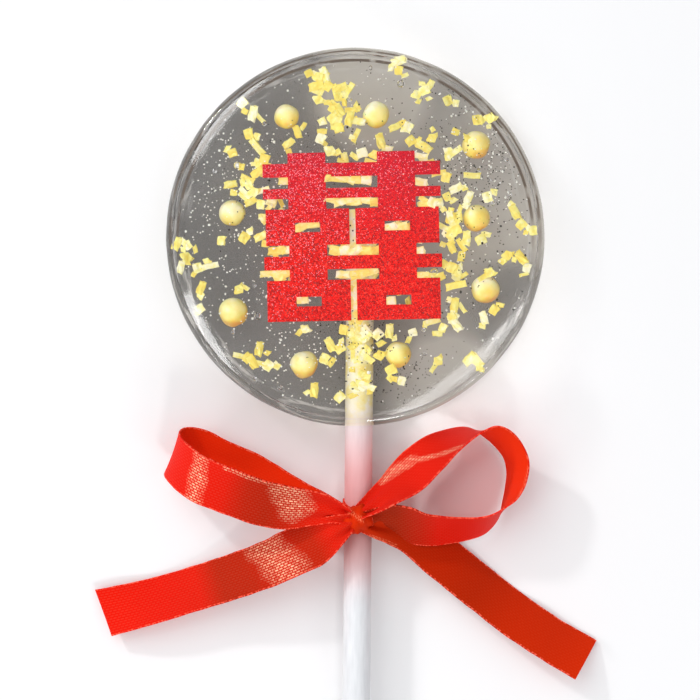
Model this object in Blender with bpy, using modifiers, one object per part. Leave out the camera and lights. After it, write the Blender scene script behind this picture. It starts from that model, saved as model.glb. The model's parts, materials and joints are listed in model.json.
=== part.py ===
"""A clear poured-candy lollipop with a wedding ornament, sugar pearls and a ribbon bow.

The lollipop lies on its back with its shown side up. The origin is the middle of the
disc's back face, +X runs to the right of the shown side, +Y towards the top of the disc,
away from the stick, and +Z up, out of the shown side.
"""

import math

import bmesh
import bpy
from mathutils import Matrix, Vector

MM = 0.001

# The gap that touching pieces keep
GAP = 0.3 * MM

# Disc of clear candy, cast in a round mould
DISC_RADIUS = 30 * MM
DISC_THICKNESS = 8 * MM
DISC_EDGE_RADIUS = 1.6 * MM
DISC_SIDES = 96

# Rolled paper stick, cast into the disc at half its thickness
STICK_RADIUS = 2.2 * MM
STICK_LENGTH = 150 * MM
STICK_INNER_END = Vector((0.87, 4.4, 4.0)) * MM
STICK_LEAN = math.radians(-0.51)
STICK_SIDES = 32
STICK_END_ROUND = 0.25 * MM

# The ornament: the doubled character for joy, laser cut from one thin red wafer
ORNAMENT_CENTRE = Vector((-0.41, 0.0, 0.0)) * MM
ORNAMENT_TURN = math.radians(1.2)
ORNAMENT_THICKNESS = 0.45 * MM
ORNAMENT_BASE = 7.2 * MM
CENTRE_SLIT = 0.48 * MM
BLOCK_OUTER = 13.7 * MM
BAR_OUTER = 14.05 * MM
COLUMN_INNER = 4.08 * MM
COLUMN_OUTER = 10.06 * MM
WINDOW_INNER = 5.1 * MM
WINDOW_OUTER = 9.07 * MM
COLUMN_TOP = 13.4 * MM
COLUMN_BOTTOM = -13.0 * MM
# Each pair is the top and bottom of a row of the character
BAR_ROWS = ((11.73 * MM, 9.59 * MM), (7.77 * MM, 6.18 * MM), (-2.93 * MM, -5.07 * MM))
BLOCK_ROWS = ((4.52 * MM, -1.19 * MM), (-6.74 * MM, -13.23 * MM))
WINDOW_ROWS = ((2.38 * MM, 0.87 * MM), (-9.35 * MM, -10.86 * MM))

# Sugar pearls: middle x and y, then radius, in millimetres, clockwise from the top left
PEARLS = (
    (-10.9, 19.1, 2.05),
    (3.3, 19.4, 2.2),
    (19.1, 14.6, 2.3),
    (19.2, 3.0, 2.2),
    (20.6, -8.3, 2.3),
    (6.8, -18.6, 2.15),
    (-8.1, -20.2, 2.25),
    (-19.3, -11.9, 2.4),
    (-19.5, 3.8, 2.15),
)
PEARL_COVER = 0.5 * MM
PEARL_SEGMENTS = 16
PEARL_RINGS = 10
POCKET_ARC_STEPS = 5
CUT_OVERSHOOT = 1.0 * MM

# Woven ribbon, tied in a bow round the stick
RIBBON_WIDTH = 8.0 * MM
RIBBON_THICKNESS = 0.5 * MM
RIBBON_CELLS_ACROSS = 3
RIBBON_STEPS = 3
KNOT_CENTRE = Vector((-0.3, -44.7, 8.2)) * MM
KNOT_RADII = Vector((1.9, 2.3, 1.5)) * MM
WRAP_PLACE = 49.0 * MM
WRAP_RADIUS = 2.78 * MM
WRAP_START = math.radians(12)
WRAP_STATIONS = 17
WRAP_WIDTH_AT_KNOT = 0.42
WRAP_WIDTH_BEHIND = 0.78

# A station of the ribbon is its middle x, y and z in millimetres, the heading of its
# width line in plan and that line's rise in degrees, and the share of its full width
# that is left where the ribbon is gathered towards the knot.
LEFT_LOOP = (
    (-0.9, -44.3, 8.6, 74, 10, 0.30),
    (-3.4, -43.3, 8.9, 74, 16, 0.50),
    (-6.2, -42.9, 9.3, 76, 20, 0.74),
    (-10.8, -42.7, 10.2, 81, 24, 0.96),
    (-15.4, -41.7, 10.9, 80, 22, 1.00),
    (-20.5, -39.8, 11.1, 71, 22, 1.00),
    (-24.7, -38.1, 10.3, 68, 22, 1.00),
    (-27.7, -36.0, 8.7, 68, 25, 1.00),
    (-29.0, -34.4, 6.2, 69, 27, 1.00),
    (-27.9, -33.6, 3.6, 70, 27, 1.00),
    (-24.9, -34.1, 2.4, 71, 26, 1.00),
    (-20.8, -36.1, 2.3, 73, 26, 1.00),
    (-16.8, -37.8, 2.6, 75, 26, 1.00),
    (-13.4, -39.6, 3.2, 77, 24, 0.96),
    (-9.2, -41.6, 4.6, 77, 20, 0.80),
    (-5.4, -42.9, 6.2, 76, 16, 0.62),
    (-2.6, -43.8, 7.3, 74, 12, 0.42),
    (-0.9, -44.3, 7.8, 74, 8, 0.30),
)
RIGHT_LOOP = (
    (0.4, -44.0, 8.6, -50, 30, 0.30),
    (2.4, -42.6, 8.2, -48, 42, 0.55),
    (5.4, -40.3, 7.5, -50, 48, 0.85),
    (8.8, -37.4, 6.8, -56, 38, 1.00),
    (12.6, -34.1, 6.3, -54, 47, 1.00),
    (15.6, -32.2, 5.4, -52, 63, 1.00),
    (19.0, -30.8, 4.6, -20, 76, 1.00),
    (21.9, -31.2, 4.3, 58, 70, 1.00),
    (24.2, -32.9, 4.3, 50, 64, 1.00),
    (25.6, -35.5, 4.3, 14, 65, 1.00),
    (25.6, -38.4, 4.4, 0, 69, 1.00),
    (24.7, -41.4, 4.5, 20, 73, 1.00),
    (23.3, -43.7, 4.5, 66, 72, 1.00),
    (20.6, -45.7, 4.6, 86, 66, 1.00),
    (16.4, -46.4, 5.0, 94, 58, 1.00),
    (11.6, -46.4, 5.9, 88, 48, 1.00),
    (8.2, -45.5, 6.6, 88, 42, 1.00),
    (4.7, -44.8, 7.0, 86, 36, 0.80),
    (2.1, -44.6, 7.7, 82, 26, 0.48),
    (0.2, -44.6, 8.0, 80, 20, 0.30),
)
LEFT_TAIL = (
    (-0.6, -45.0, 8.9, 104, 4, 0.34),
    (-3.3, -46.5, 8.8, 114, 0, 0.66),
    (-6.5, -48.5, 7.9, 121, -14, 0.92),
    (-9.7, -49.9, 6.6, 120, -22, 1.00),
    (-15.1, -52.4, 4.8, 110, -27, 1.00),
    (-22.1, -54.9, 3.3, 108, -30, 1.00),
    (-31.4, -57.8, 2.5, 107, -30, 1.00),
    (-40.3, -60.0, 1.2, 111, -10, 1.00),
)
RIGHT_TAIL = (
    (0.2, -45.0, 7.6, 78, -6, 0.30),
    (3.5, -45.7, 6.7, 70, -12, 0.50),
    (6.6, -46.1, 4.9, 60, -22, 0.80),
    (9.8, -47.5, 3.4, 54, -29, 0.96),
    (13.3, -50.5, 2.5, 53, -30, 1.00),
    (17.7, -54.1, 2.3, 53, -31, 1.00),
    (22.3, -57.8, 2.3, 52, -31, 1.00),
    (26.7, -61.1, 2.3, 54, -31, 1.00),
    (32.1, -64.6, 2.3, 56, -31, 1.00),
    (36.9, -67.4, 2.2, 58, -30, 1.00),
)

SMOOTH_ANGLE = math.radians(40)
WELD = 0.001 * MM


def clear_scene():
    """Start from nothing, whatever the file held."""
    for obj in list(bpy.data.objects):
        bpy.data.objects.remove(obj, do_unlink=True)


def new_collection(name):
    """A collection linked under the scene."""
    collection = bpy.data.collections.new(name)
    bpy.context.scene.collection.children.link(collection)
    return collection


def material(name, colour, roughness, metallic=0.0):
    """A Principled material of one colour, given as linear red, green and blue."""
    made = bpy.data.materials.new(name)
    made.use_nodes = True
    shader = made.node_tree.nodes["Principled BSDF"]
    shader.inputs["Base Color"].default_value = (*colour, 1.0)
    shader.inputs["Roughness"].default_value = roughness
    shader.inputs["Metallic"].default_value = metallic
    return made


def add_object(name, bm, collection, smooth=True):
    """Turn a bmesh into an object of the collection."""
    mesh = bpy.data.meshes.new(name)
    bm.to_mesh(mesh)
    bm.free()
    if smooth:
        mesh.shade_smooth()
        mesh.set_sharp_from_angle(angle=SMOOTH_ANGLE)
    obj = bpy.data.objects.new(name, mesh)
    collection.objects.link(obj)
    return obj


def as_guide(obj):
    """Mark an object that only cuts or joins others."""
    obj.hide_render = True
    obj.display_type = "WIRE"
    return obj


def join_with(obj, operation, collection):
    """Cut or unite an object with every object of a collection."""
    boolean = obj.modifiers.new(operation.lower(), "BOOLEAN")
    boolean.operation = operation
    boolean.solver = "EXACT"
    boolean.operand_type = "COLLECTION"
    boolean.collection = collection
    return boolean


def rod(name, radius, length, sides, collection):
    """A cylinder from its own origin along +Z."""
    bm = bmesh.new()
    bmesh.ops.create_cone(
        bm, cap_ends=True, segments=sides, radius1=radius, radius2=radius, depth=length,
        matrix=Matrix.Translation((0, 0, length / 2)),
    )
    return add_object(name, bm, collection)


def turned(name, profile, steps, collection):
    """A profile of (radius, height) points, top to bottom, turned round Z."""
    bm = bmesh.new()
    points = [bm.verts.new((radius, 0, height)) for radius, height in profile]
    for first, second in zip(points, points[1:]):
        bm.edges.new((first, second))
    obj = add_object(name, bm, collection, smooth=False)
    screw = obj.modifiers.new("turn", "SCREW")
    screw.steps = steps
    screw.render_steps = steps
    screw.use_merge_vertices = True
    screw.merge_threshold = WELD
    return obj


def lay_along_stick(obj, distance=0.0):
    """Turn an object's +Z to run down the stick, from a distance past its inner end."""
    turn = Matrix.Rotation(STICK_LEAN, 4, "Z") @ Matrix.Rotation(math.radians(90), 4, "X")
    start = STICK_INNER_END + turn.to_3x3() @ Vector((0, 0, distance))
    obj.matrix_world = Matrix.Translation(start) @ turn


def in_rows(height, rows):
    """Whether a height lies in one of the rows."""
    return any(bottom < height < top for top, bottom in rows)


def ornament_cells(grow):
    """The filled cells of the character's grid, with every edge moved out by grow."""

    def moved(rows, by):
        return tuple((top + by, bottom - by) for top, bottom in rows)

    bars = moved(BAR_ROWS, grow)
    blocks = moved(BLOCK_ROWS, grow)
    windows = moved(WINDOW_ROWS, -grow)
    columns = ((COLUMN_TOP + grow, COLUMN_BOTTOM - grow),)
    lines_x = (
        0.0,
        CENTRE_SLIT - grow,
        COLUMN_INNER - grow,
        WINDOW_INNER + grow,
        WINDOW_OUTER - grow,
        COLUMN_OUTER + grow,
        BLOCK_OUTER + grow,
        BAR_OUTER + grow,
    )
    lines_x = sorted({-x for x in lines_x} | set(lines_x))
    lines_y = sorted({y for rows in (bars, blocks, windows, columns) for row in rows for y in row})

    def filled(x, y):
        side = abs(x)
        if in_rows(y, windows) and WINDOW_INNER + grow < side < WINDOW_OUTER - grow:
            return False
        if in_rows(y, columns) and COLUMN_INNER - grow < side < COLUMN_OUTER + grow:
            return True
        if in_rows(y, blocks) and CENTRE_SLIT - grow < side < BLOCK_OUTER + grow:
            return True
        return in_rows(y, bars)

    for left, right in zip(lines_x, lines_x[1:]):
        for low, high in zip(lines_y, lines_y[1:]):
            if filled((left + right) / 2, (low + high) / 2):
                yield left, right, low, high


def ornament_plate(name, grow, base, thickness, collection):
    """The character as a flat plate, its edges moved out by grow."""
    bm = bmesh.new()
    for left, right, low, high in ornament_cells(grow):
        corners = ((left, low), (right, low), (right, high), (left, high))
        bm.faces.new([bm.verts.new((x, y, 0)) for x, y in corners])
    bmesh.ops.remove_doubles(bm, verts=bm.verts, dist=WELD)
    bmesh.ops.dissolve_limit(bm, angle_limit=math.radians(1), verts=bm.verts, edges=bm.edges)
    obj = add_object(name, bm, collection, smooth=False)
    plate = obj.modifiers.new("thickness", "SOLIDIFY")
    plate.thickness = thickness
    plate.offset = 1.0
    obj.location = ORNAMENT_CENTRE + Vector((0, 0, base))
    obj.rotation_euler = (0, 0, ORNAMENT_TURN)
    return obj


def pearl_place(pearl):
    """The middle and radius of a pearl, in metres."""
    x, y, radius = (value * MM for value in pearl)
    return Vector((x, y, DISC_THICKNESS - PEARL_COVER - radius)), radius


def pearl_pocket(name, pearl, collection):
    """The clear space round a pearl, open to the shown face."""
    centre, radius = pearl_place(pearl)
    reach = radius + GAP
    top = DISC_THICKNESS + CUT_OVERSHOOT - centre.z
    profile = [(0, top), (reach, top)]
    for step in range(POCKET_ARC_STEPS + 1):
        angle = math.radians(90) * step / POCKET_ARC_STEPS
        profile.append((reach * math.cos(angle), -reach * math.sin(angle)))
    pocket = turned(name, profile, PEARL_SEGMENTS, collection)
    pocket.location = centre
    return pocket


def make_disc(parts, cutters):
    """The candy disc, with room for what is cast into it."""
    bm = bmesh.new()
    bmesh.ops.create_cone(
        bm, cap_ends=True, segments=DISC_SIDES, radius1=DISC_RADIUS, radius2=DISC_RADIUS,
        depth=DISC_THICKNESS, matrix=Matrix.Translation((0, 0, DISC_THICKNESS / 2)),
    )
    disc = add_object("candy_disc", bm, parts)
    edge = disc.modifiers.new("round_edge", "BEVEL")
    edge.width = DISC_EDGE_RADIUS
    edge.segments = 4
    edge.limit_method = "ANGLE"
    bore = rod("stick_bore", STICK_RADIUS + GAP, STICK_LENGTH, STICK_SIDES, cutters)
    lay_along_stick(bore, -GAP)
    recess_floor = ORNAMENT_BASE - GAP
    recess_depth = DISC_THICKNESS + CUT_OVERSHOOT - recess_floor
    ornament_plate("ornament_recess", GAP, recess_floor, recess_depth, cutters)
    for number, pearl in enumerate(PEARLS, start=1):
        pearl_pocket(f"pearl_pocket_{number:02d}", pearl, cutters)
    for cutter in cutters.objects:
        as_guide(cutter)
    join_with(disc, "DIFFERENCE", cutters)
    disc.data.materials.append(material("clear_candy", (0.62, 0.62, 0.60), 0.05))
    return disc


def make_stick(parts):
    """The paper stick, with its rolled ends slightly rounded."""
    stick = rod("paper_stick", STICK_RADIUS, STICK_LENGTH, STICK_SIDES, parts)
    ends = stick.modifiers.new("round_ends", "BEVEL")
    ends.width = STICK_END_ROUND
    ends.segments = 2
    ends.limit_method = "ANGLE"
    lay_along_stick(stick)
    stick.data.materials.append(material("white_paper", (0.86, 0.86, 0.87), 0.6))
    return stick


def make_ornament(parts):
    """The red wafer ornament in its recess."""
    ornament = ornament_plate("wedding_ornament", 0.0, ORNAMENT_BASE, ORNAMENT_THICKNESS, parts)
    ornament.data.materials.append(material("red_glitter_wafer", (0.72, 0.01, 0.02), 0.45))
    return ornament


def make_pearls(parts):
    """The sugar pearls, each its own ball."""
    for number, pearl in enumerate(PEARLS, start=1):
        centre, radius = pearl_place(pearl)
        bm = bmesh.new()
        bmesh.ops.create_uvsphere(
            bm, u_segments=PEARL_SEGMENTS, v_segments=PEARL_RINGS, radius=radius
        )
        ball = add_object(f"pearl_{number:02d}", bm, parts)
        ball.location = centre
        ball.data.materials.append(material(f"sugar_pearl_{number:02d}", (0.90, 0.68, 0.32), 0.3))


def station_vectors(station):
    """A station's middle and the vector from its middle to its edge, in metres."""
    x, y, z, heading, rise, share = station
    heading = math.radians(heading)
    rise = math.radians(rise)
    along = Vector((math.cos(rise) * math.cos(heading), math.cos(rise) * math.sin(heading), math.sin(rise)))
    return Vector((x, y, z)) * MM, along * share * RIBBON_WIDTH / 2


def smooth_between(before, start, end, after, share):
    """A point on the smooth curve from start to end, which also heeds their neighbours."""
    return 0.5 * (
        2 * start
        + (end - before) * share
        + (2 * before - 5 * start + 4 * end - after) * share ** 2
        + (3 * start - before - 3 * end + after) * share ** 3
    )


def resampled(values, steps):
    """The values with smooth in-between ones added."""
    padded = [2 * values[0] - values[1], *values, 2 * values[-1] - values[-2]]
    made = []
    for place in range(len(values) - 1):
        for step in range(steps):
            made.append(smooth_between(*padded[place:place + 4], step / steps))
    made.append(values[-1])
    return made


def ribbon_band(name, middles, halves, collection):
    """A strip through the sections given by their middles and half-width vectors."""
    bm = bmesh.new()
    rows = []
    for middle, half in zip(middles, halves):
        row = []
        for cell in range(RIBBON_CELLS_ACROSS + 1):
            share = 2 * cell / RIBBON_CELLS_ACROSS - 1
            row.append(bm.verts.new(middle + half * share))
        rows.append(row)
    for first, second in zip(rows, rows[1:]):
        for cell in range(RIBBON_CELLS_ACROSS):
            bm.faces.new((first[cell], first[cell + 1], second[cell + 1], second[cell]))
    obj = add_object(name, bm, collection)
    cloth = obj.modifiers.new("thickness", "SOLIDIFY")
    cloth.thickness = RIBBON_THICKNESS
    cloth.offset = 0.0
    return obj


def band_from_stations(name, stations, collection):
    """A strip of ribbon that runs smoothly through its stations."""
    middles, halves = zip(*(station_vectors(station) for station in stations))
    return ribbon_band(
        name, resampled(middles, RIBBON_STEPS), resampled(halves, RIBBON_STEPS), collection
    )


def stick_wrap(name, collection):
    """The turn of ribbon that goes round behind the stick, gathered at the knot."""
    middles = []
    halves = []
    for place in range(WRAP_STATIONS):
        angle = WRAP_START + (math.tau - 2 * WRAP_START) * place / (WRAP_STATIONS - 1)
        behind = min(1.0, 1.0 - math.cos(angle))
        width = WRAP_WIDTH_AT_KNOT + (WRAP_WIDTH_BEHIND - WRAP_WIDTH_AT_KNOT) * behind
        middles.append(Vector((math.sin(angle) * WRAP_RADIUS, math.cos(angle) * WRAP_RADIUS, 0)))
        halves.append(Vector((0, 0, width * RIBBON_WIDTH / 2)))
    wrap = ribbon_band(name, middles, halves, collection)
    lay_along_stick(wrap, WRAP_PLACE)
    return wrap


def make_bow(parts):
    """The whole ribbon as one solid: knot, wrap, two loops and two tails."""
    bm = bmesh.new()
    bmesh.ops.create_uvsphere(
        bm, u_segments=20, v_segments=12, radius=1.0, matrix=Matrix.Diagonal((*KNOT_RADII, 1.0))
    )
    knot = add_object("knot", bm, parts)
    knot.location = KNOT_CENTRE
    lengths = new_collection("ribbon_lengths")
    stick_wrap("wrap", lengths)
    band_from_stations("left_loop", LEFT_LOOP, lengths)
    band_from_stations("right_loop", RIGHT_LOOP, lengths)
    band_from_stations("left_tail", LEFT_TAIL, lengths)
    band_from_stations("right_tail", RIGHT_TAIL, lengths)
    join_with(knot, "UNION", lengths)
    bpy.context.view_layer.update()
    evaluated = knot.evaluated_get(bpy.context.evaluated_depsgraph_get())
    mesh = bpy.data.meshes.new_from_object(evaluated)
    mesh.name = "ribbon_bow"
    bow = bpy.data.objects.new("ribbon_bow", mesh)
    bow.matrix_world = knot.matrix_world
    parts.objects.link(bow)
    for used in [knot, *lengths.objects]:
        bpy.data.objects.remove(used, do_unlink=True)
    bpy.data.collections.remove(lengths)
    mesh.shade_smooth()
    mesh.set_sharp_from_angle(angle=SMOOTH_ANGLE)
    mesh.materials.clear()
    mesh.materials.append(material("red_satin", (0.75, 0.02, 0.01), 0.4))
    return bow


def main():
    clear_scene()
    parts = new_collection("lollipop")
    cutters = new_collection("lollipop_cutters")
    make_disc(parts, cutters)
    make_stick(parts)
    make_ornament(parts)
    make_pearls(parts)
    make_bow(parts)
    bpy.context.view_layer.update()


main()
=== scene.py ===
# %% [markdown]
# # A clear candy lollipop
# The real lollipop is a disc of clear cast candy on a paper stick. A red glitter wafer,
# sugar pearls and yellow crystal flakes are cast into the disc, and a satin ribbon is
# tied in a bow below it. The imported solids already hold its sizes, so this script only
# gives them their looks. It lies on its back, and the camera looks straight down on it.

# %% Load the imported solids
import json
import math
import random

import bmesh
import bpy
import numpy as np
from mathutils import Matrix, Vector, noise

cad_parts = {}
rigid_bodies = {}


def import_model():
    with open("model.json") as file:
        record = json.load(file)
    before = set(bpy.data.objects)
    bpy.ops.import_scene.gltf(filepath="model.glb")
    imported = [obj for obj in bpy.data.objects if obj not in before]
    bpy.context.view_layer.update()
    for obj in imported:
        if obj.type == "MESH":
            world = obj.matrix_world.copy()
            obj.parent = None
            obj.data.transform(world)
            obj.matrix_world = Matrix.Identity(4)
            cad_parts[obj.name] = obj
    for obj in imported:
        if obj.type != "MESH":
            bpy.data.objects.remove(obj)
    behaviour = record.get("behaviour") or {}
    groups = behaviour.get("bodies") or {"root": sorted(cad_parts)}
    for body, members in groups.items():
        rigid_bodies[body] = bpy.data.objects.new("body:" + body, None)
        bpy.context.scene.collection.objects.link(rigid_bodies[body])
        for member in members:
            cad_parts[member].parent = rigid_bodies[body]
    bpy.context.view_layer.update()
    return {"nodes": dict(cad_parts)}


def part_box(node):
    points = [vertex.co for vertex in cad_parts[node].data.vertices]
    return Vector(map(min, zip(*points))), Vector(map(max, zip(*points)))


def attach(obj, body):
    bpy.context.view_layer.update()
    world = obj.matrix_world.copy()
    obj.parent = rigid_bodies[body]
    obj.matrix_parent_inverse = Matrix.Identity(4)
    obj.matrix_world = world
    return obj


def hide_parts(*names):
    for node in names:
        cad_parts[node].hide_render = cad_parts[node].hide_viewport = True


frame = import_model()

MM = 0.001
disc_low, disc_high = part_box("candy_disc")
DISC_RADIUS = (disc_high.x - disc_low.x) / 2
DISC_TOP = disc_high.z

# %% [markdown]
# ## Camera
# The photograph looks at the disc square on, so the camera hangs above the table and
# looks straight down. The disc's middle and radius in the picture's pixels set how far
# the frame reaches. A long lens from half a metre keeps the stick and bow undistorted.

# %% Place the camera
PICTURE_SIDE = 700
DISC_MIDDLE_PX = (355.3, 237.0)
DISC_RADIUS_PX = 189.3
CAMERA_DISTANCE = 0.5
WIDEST_HEIGHT = 6.4 * MM

metres_per_px = DISC_RADIUS / DISC_RADIUS_PX
camera_data = bpy.data.cameras.new("camera")
camera_data.sensor_width = 36.0
camera_data.lens = camera_data.sensor_width * CAMERA_DISTANCE / (PICTURE_SIDE * metres_per_px)
camera = bpy.data.objects.new("camera", camera_data)
bpy.context.scene.collection.objects.link(camera)
camera.location = (
    (PICTURE_SIDE / 2 - DISC_MIDDLE_PX[0]) * metres_per_px,
    (DISC_MIDDLE_PX[1] - PICTURE_SIDE / 2) * metres_per_px,
    WIDEST_HEIGHT + CAMERA_DISTANCE,
)
bpy.context.scene.camera = camera
print("lens", round(camera_data.lens, 1), "mm")

# %% [markdown]
# ## Helpers for modelling
# Operators act on whatever is selected, so each step starts by picking one object and
# nothing else. A finished piece has its place in its mesh and its object at the origin.

# %% Modelling helpers
def pick(obj):
    """Select one object alone and make it active."""
    for other in bpy.context.view_layer.objects:
        other.select_set(False)
    obj.select_set(True)
    bpy.context.view_layer.objects.active = obj


def settle(obj, name):
    """Name a piece and bake its place, turn and scale into its mesh."""
    pick(obj)
    bpy.ops.object.transform_apply(location=True, rotation=True, scale=True)
    obj.name = name
    obj.data.name = name
    return obj


def finish_modifiers(obj):
    """Apply an object's modifiers, first to last."""
    pick(obj)
    for modifier in list(obj.modifiers):
        bpy.ops.object.modifier_apply(modifier=modifier.name)
    return obj


def select_in_edit(obj, kind, test):
    """In edit mode, select the vertices, edges or faces for which a test holds."""
    bpy.ops.mesh.select_all(action="DESELECT")
    bpy.ops.mesh.select_mode(type=kind)
    bm = bmesh.from_edit_mesh(obj.data)
    chosen = {"VERT": bm.verts, "EDGE": bm.edges, "FACE": bm.faces}[kind]
    for item in chosen:
        if test(item):
            item.select_set(True)
    bm.select_flush_mode()
    bmesh.update_edit_mesh(obj.data)


def smooth(obj, degrees=35):
    """Shade a piece smooth except across edges sharper than an angle."""
    pick(obj)
    bpy.ops.object.shade_smooth_by_angle(angle=math.radians(degrees))
    return obj


def strewn(name, pattern, places):
    """One mesh with a copy of the pattern at each placing matrix, each with a random tint."""
    points = np.array([vertex.co for vertex in pattern.data.vertices])
    faces = [tuple(face.vertices) for face in pattern.data.polygons]
    all_points = []
    all_faces = []
    for place in places:
        matrix = np.array(place)
        start = len(all_points) * len(points)
        all_points.append(points @ matrix[:3, :3].T + matrix[:3, 3])
        all_faces += [tuple(corner + start for corner in face) for face in faces]
    mesh = bpy.data.meshes.new(name)
    mesh.from_pydata(np.concatenate(all_points).tolist(), [], all_faces)
    tints = np.random.default_rng(len(places)).random(len(places))
    tint = mesh.attributes.new("tint", "FLOAT", "POINT")
    tint.data.foreach_set("value", np.repeat(tints, len(points)))
    piece = bpy.data.objects.new(name, mesh)
    bpy.context.scene.collection.objects.link(piece)
    return piece


# %% [markdown]
# ## Helpers for materials
# Colours are written as the hex values that a picture shows, and one function turns them
# to the linear values that Blender works in. One more adds a node with its settings, and
# another hands on one of the new node's outputs, which the next node then takes in. The
# settings that many nodes share have names.

# %% Material helpers
TIMES = {"operation": "MULTIPLY"}
TIMES_PLUS = {"operation": "MULTIPLY_ADD"}
LESS = {"operation": "SUBTRACT"}
APART = {"operation": "DISTANCE"}
WITHIN = {"operation": "COMPARE"}
EASED = {"interpolation_type": "SMOOTHSTEP"}
BLEND = {"data_type": "RGBA"}


def linear(hex_colour):
    """A hex sRGB colour as linear red, green, blue and 1."""
    channels = [int(hex_colour[place:place + 2], 16) / 255 for place in (1, 3, 5)]
    return [c / 12.92 if c <= 0.04045 else ((c + 0.055) / 1.055) ** 2.4 for c in channels] + [1.0]


def plug(tree, node, **inputs):
    """Give inputs of a node a value each, or another node's output to link from.

    An input's keyword is its name, or an underscore and its number.
    """
    for name, value in inputs.items():
        number = name[1:]
        socket = node.inputs[int(number) if number.isdigit() else name.replace("_", " ")]
        if isinstance(value, bpy.types.NodeSocket):
            tree.links.new(value, socket)
        else:
            socket.default_value = value


def add_node(tree, kind, settings=(), **inputs):
    """Add a node with its settings, and plug in its inputs."""
    node = tree.nodes.new("ShaderNode" + kind)
    for name, value in dict(settings).items():
        setattr(node, name, value)
    plug(tree, node, **inputs)
    return node


def output_of(output, tree, kind, settings=(), **inputs):
    """Add a node and hand on the output of this name or number."""
    return add_node(tree, kind, settings, **inputs).outputs[output]


def new_material(name):
    """An empty Principled material, its tree and its shader."""
    material = bpy.data.materials.new(name)
    material.use_nodes = True
    tree = material.node_tree
    return material, tree, tree.nodes["Principled BSDF"]


def ramp(tree, factor, *stops):
    """A colour ramp through (place, hex colour) stops."""
    node = add_node(tree, "ValToRGB", _0=factor)
    elements = node.color_ramp.elements
    while len(elements) < len(stops):
        elements.new(0.5)
    for element, (place, colour) in zip(elements, stops):
        element.position = place
        element.color = linear(colour)
    return node.outputs["Color"]


def plain(name, colour, roughness):
    """A material of one colour."""
    material, tree, shader = new_material(name)
    plug(tree, shader, Base_Color=linear(colour), Roughness=roughness)
    return material


def dress(obj, material):
    """Give a piece its material and its place on the frame."""
    obj.data.materials.clear()
    obj.data.materials.append(material)
    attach(obj, "root")


# %% [markdown]
# What is cast into the candy must not throw shadows on what lies behind it, because the
# candy spreads the light around it, which straight shadow rays would miss.

# %% Helper for what is cast into the candy
def cast_in(obj, material):
    """Dress a piece that lies inside the candy, and let the lamps shine past it."""
    obj.visible_shadow = False
    dress(obj, material)


# %% [markdown]
# ## Clear candy
# The disc is isomalt or sugar, boiled and cast: a glass-like solid with an index of
# refraction of 1.50 and a fire-polished skin that ripples a little. A faint absorption in
# the body gives it depth. Lamps can't find their way through a refracting surface, so for
# their shadow rays alone the surface counts as plainly transparent.

# %% Clear candy material
CANDY_IOR = 1.5
CANDY_ROUGHNESS = 0.035
CANDY_TINT = (0.10, 0.05, 0.0, 1.0)
CANDY_ABSORPTION = 32.0
CANDY_LETS_THROUGH = (0.94, 0.94, 0.94, 1.0)
RIPPLE_SIZE = 14 * MM
RIPPLE_HEIGHT = 0.12 * MM
RIPPLE_STRENGTH = 0.12


def clear_candy():
    material, tree, shader = new_material("cast_isomalt_clear")
    place = output_of("Object", tree, "TexCoord")
    ripple = output_of("Fac", tree, "TexNoise", Vector=place, Scale=1 / RIPPLE_SIZE, Detail=1.0)
    skin = output_of(
        "Normal", tree, "Bump",
        Height=ripple, Strength=RIPPLE_STRENGTH, Distance=RIPPLE_HEIGHT,
    )
    plug(
        tree, shader, Base_Color=(1, 1, 1, 1), Roughness=CANDY_ROUGHNESS, IOR=CANDY_IOR,
        Transmission_Weight=1.0, Normal=skin,
    )
    lets_light_in = output_of(0, tree, "BsdfTransparent", Color=CANDY_LETS_THROUGH)
    shadow_ray = output_of("Is Shadow Ray", tree, "LightPath")
    surface = output_of(
        0, tree, "MixShader",
        _0=shadow_ray, _1=shader.outputs["BSDF"], _2=lets_light_in,
    )
    body = output_of(0, tree, "VolumeAbsorption", Color=CANDY_TINT, Density=CANDY_ABSORPTION)
    plug(tree, tree.nodes["Material Output"], Surface=surface, Volume=body)
    return material


# %% [markdown]
# ## The candy disc
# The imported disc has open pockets, because solids can't be nested. The real one is whole,
# so a whole disc replaces it and runs right through the pearls, the wafer and the stick.
# A cylinder gets its rim rounded by a bevel, and rings inset in the shown face let it
# crown slightly, as candy does when it sets in a mould.

# %% Model the candy disc
RIM_ROUND = 1.3 * MM
CROWN_DROP = 0.22 * MM
RIM_UNEVEN = 0.12 * MM
RIM_WAVE = 7 * MM
RING_STEPS = (0.7 * MM, 1.6 * MM, 3 * MM, 4 * MM, 5 * MM, 5 * MM, 5 * MM)
DISC_SIDES = 256
SAME_HEIGHT = 0.1 * MM
HAIR = 0.01 * MM


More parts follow.
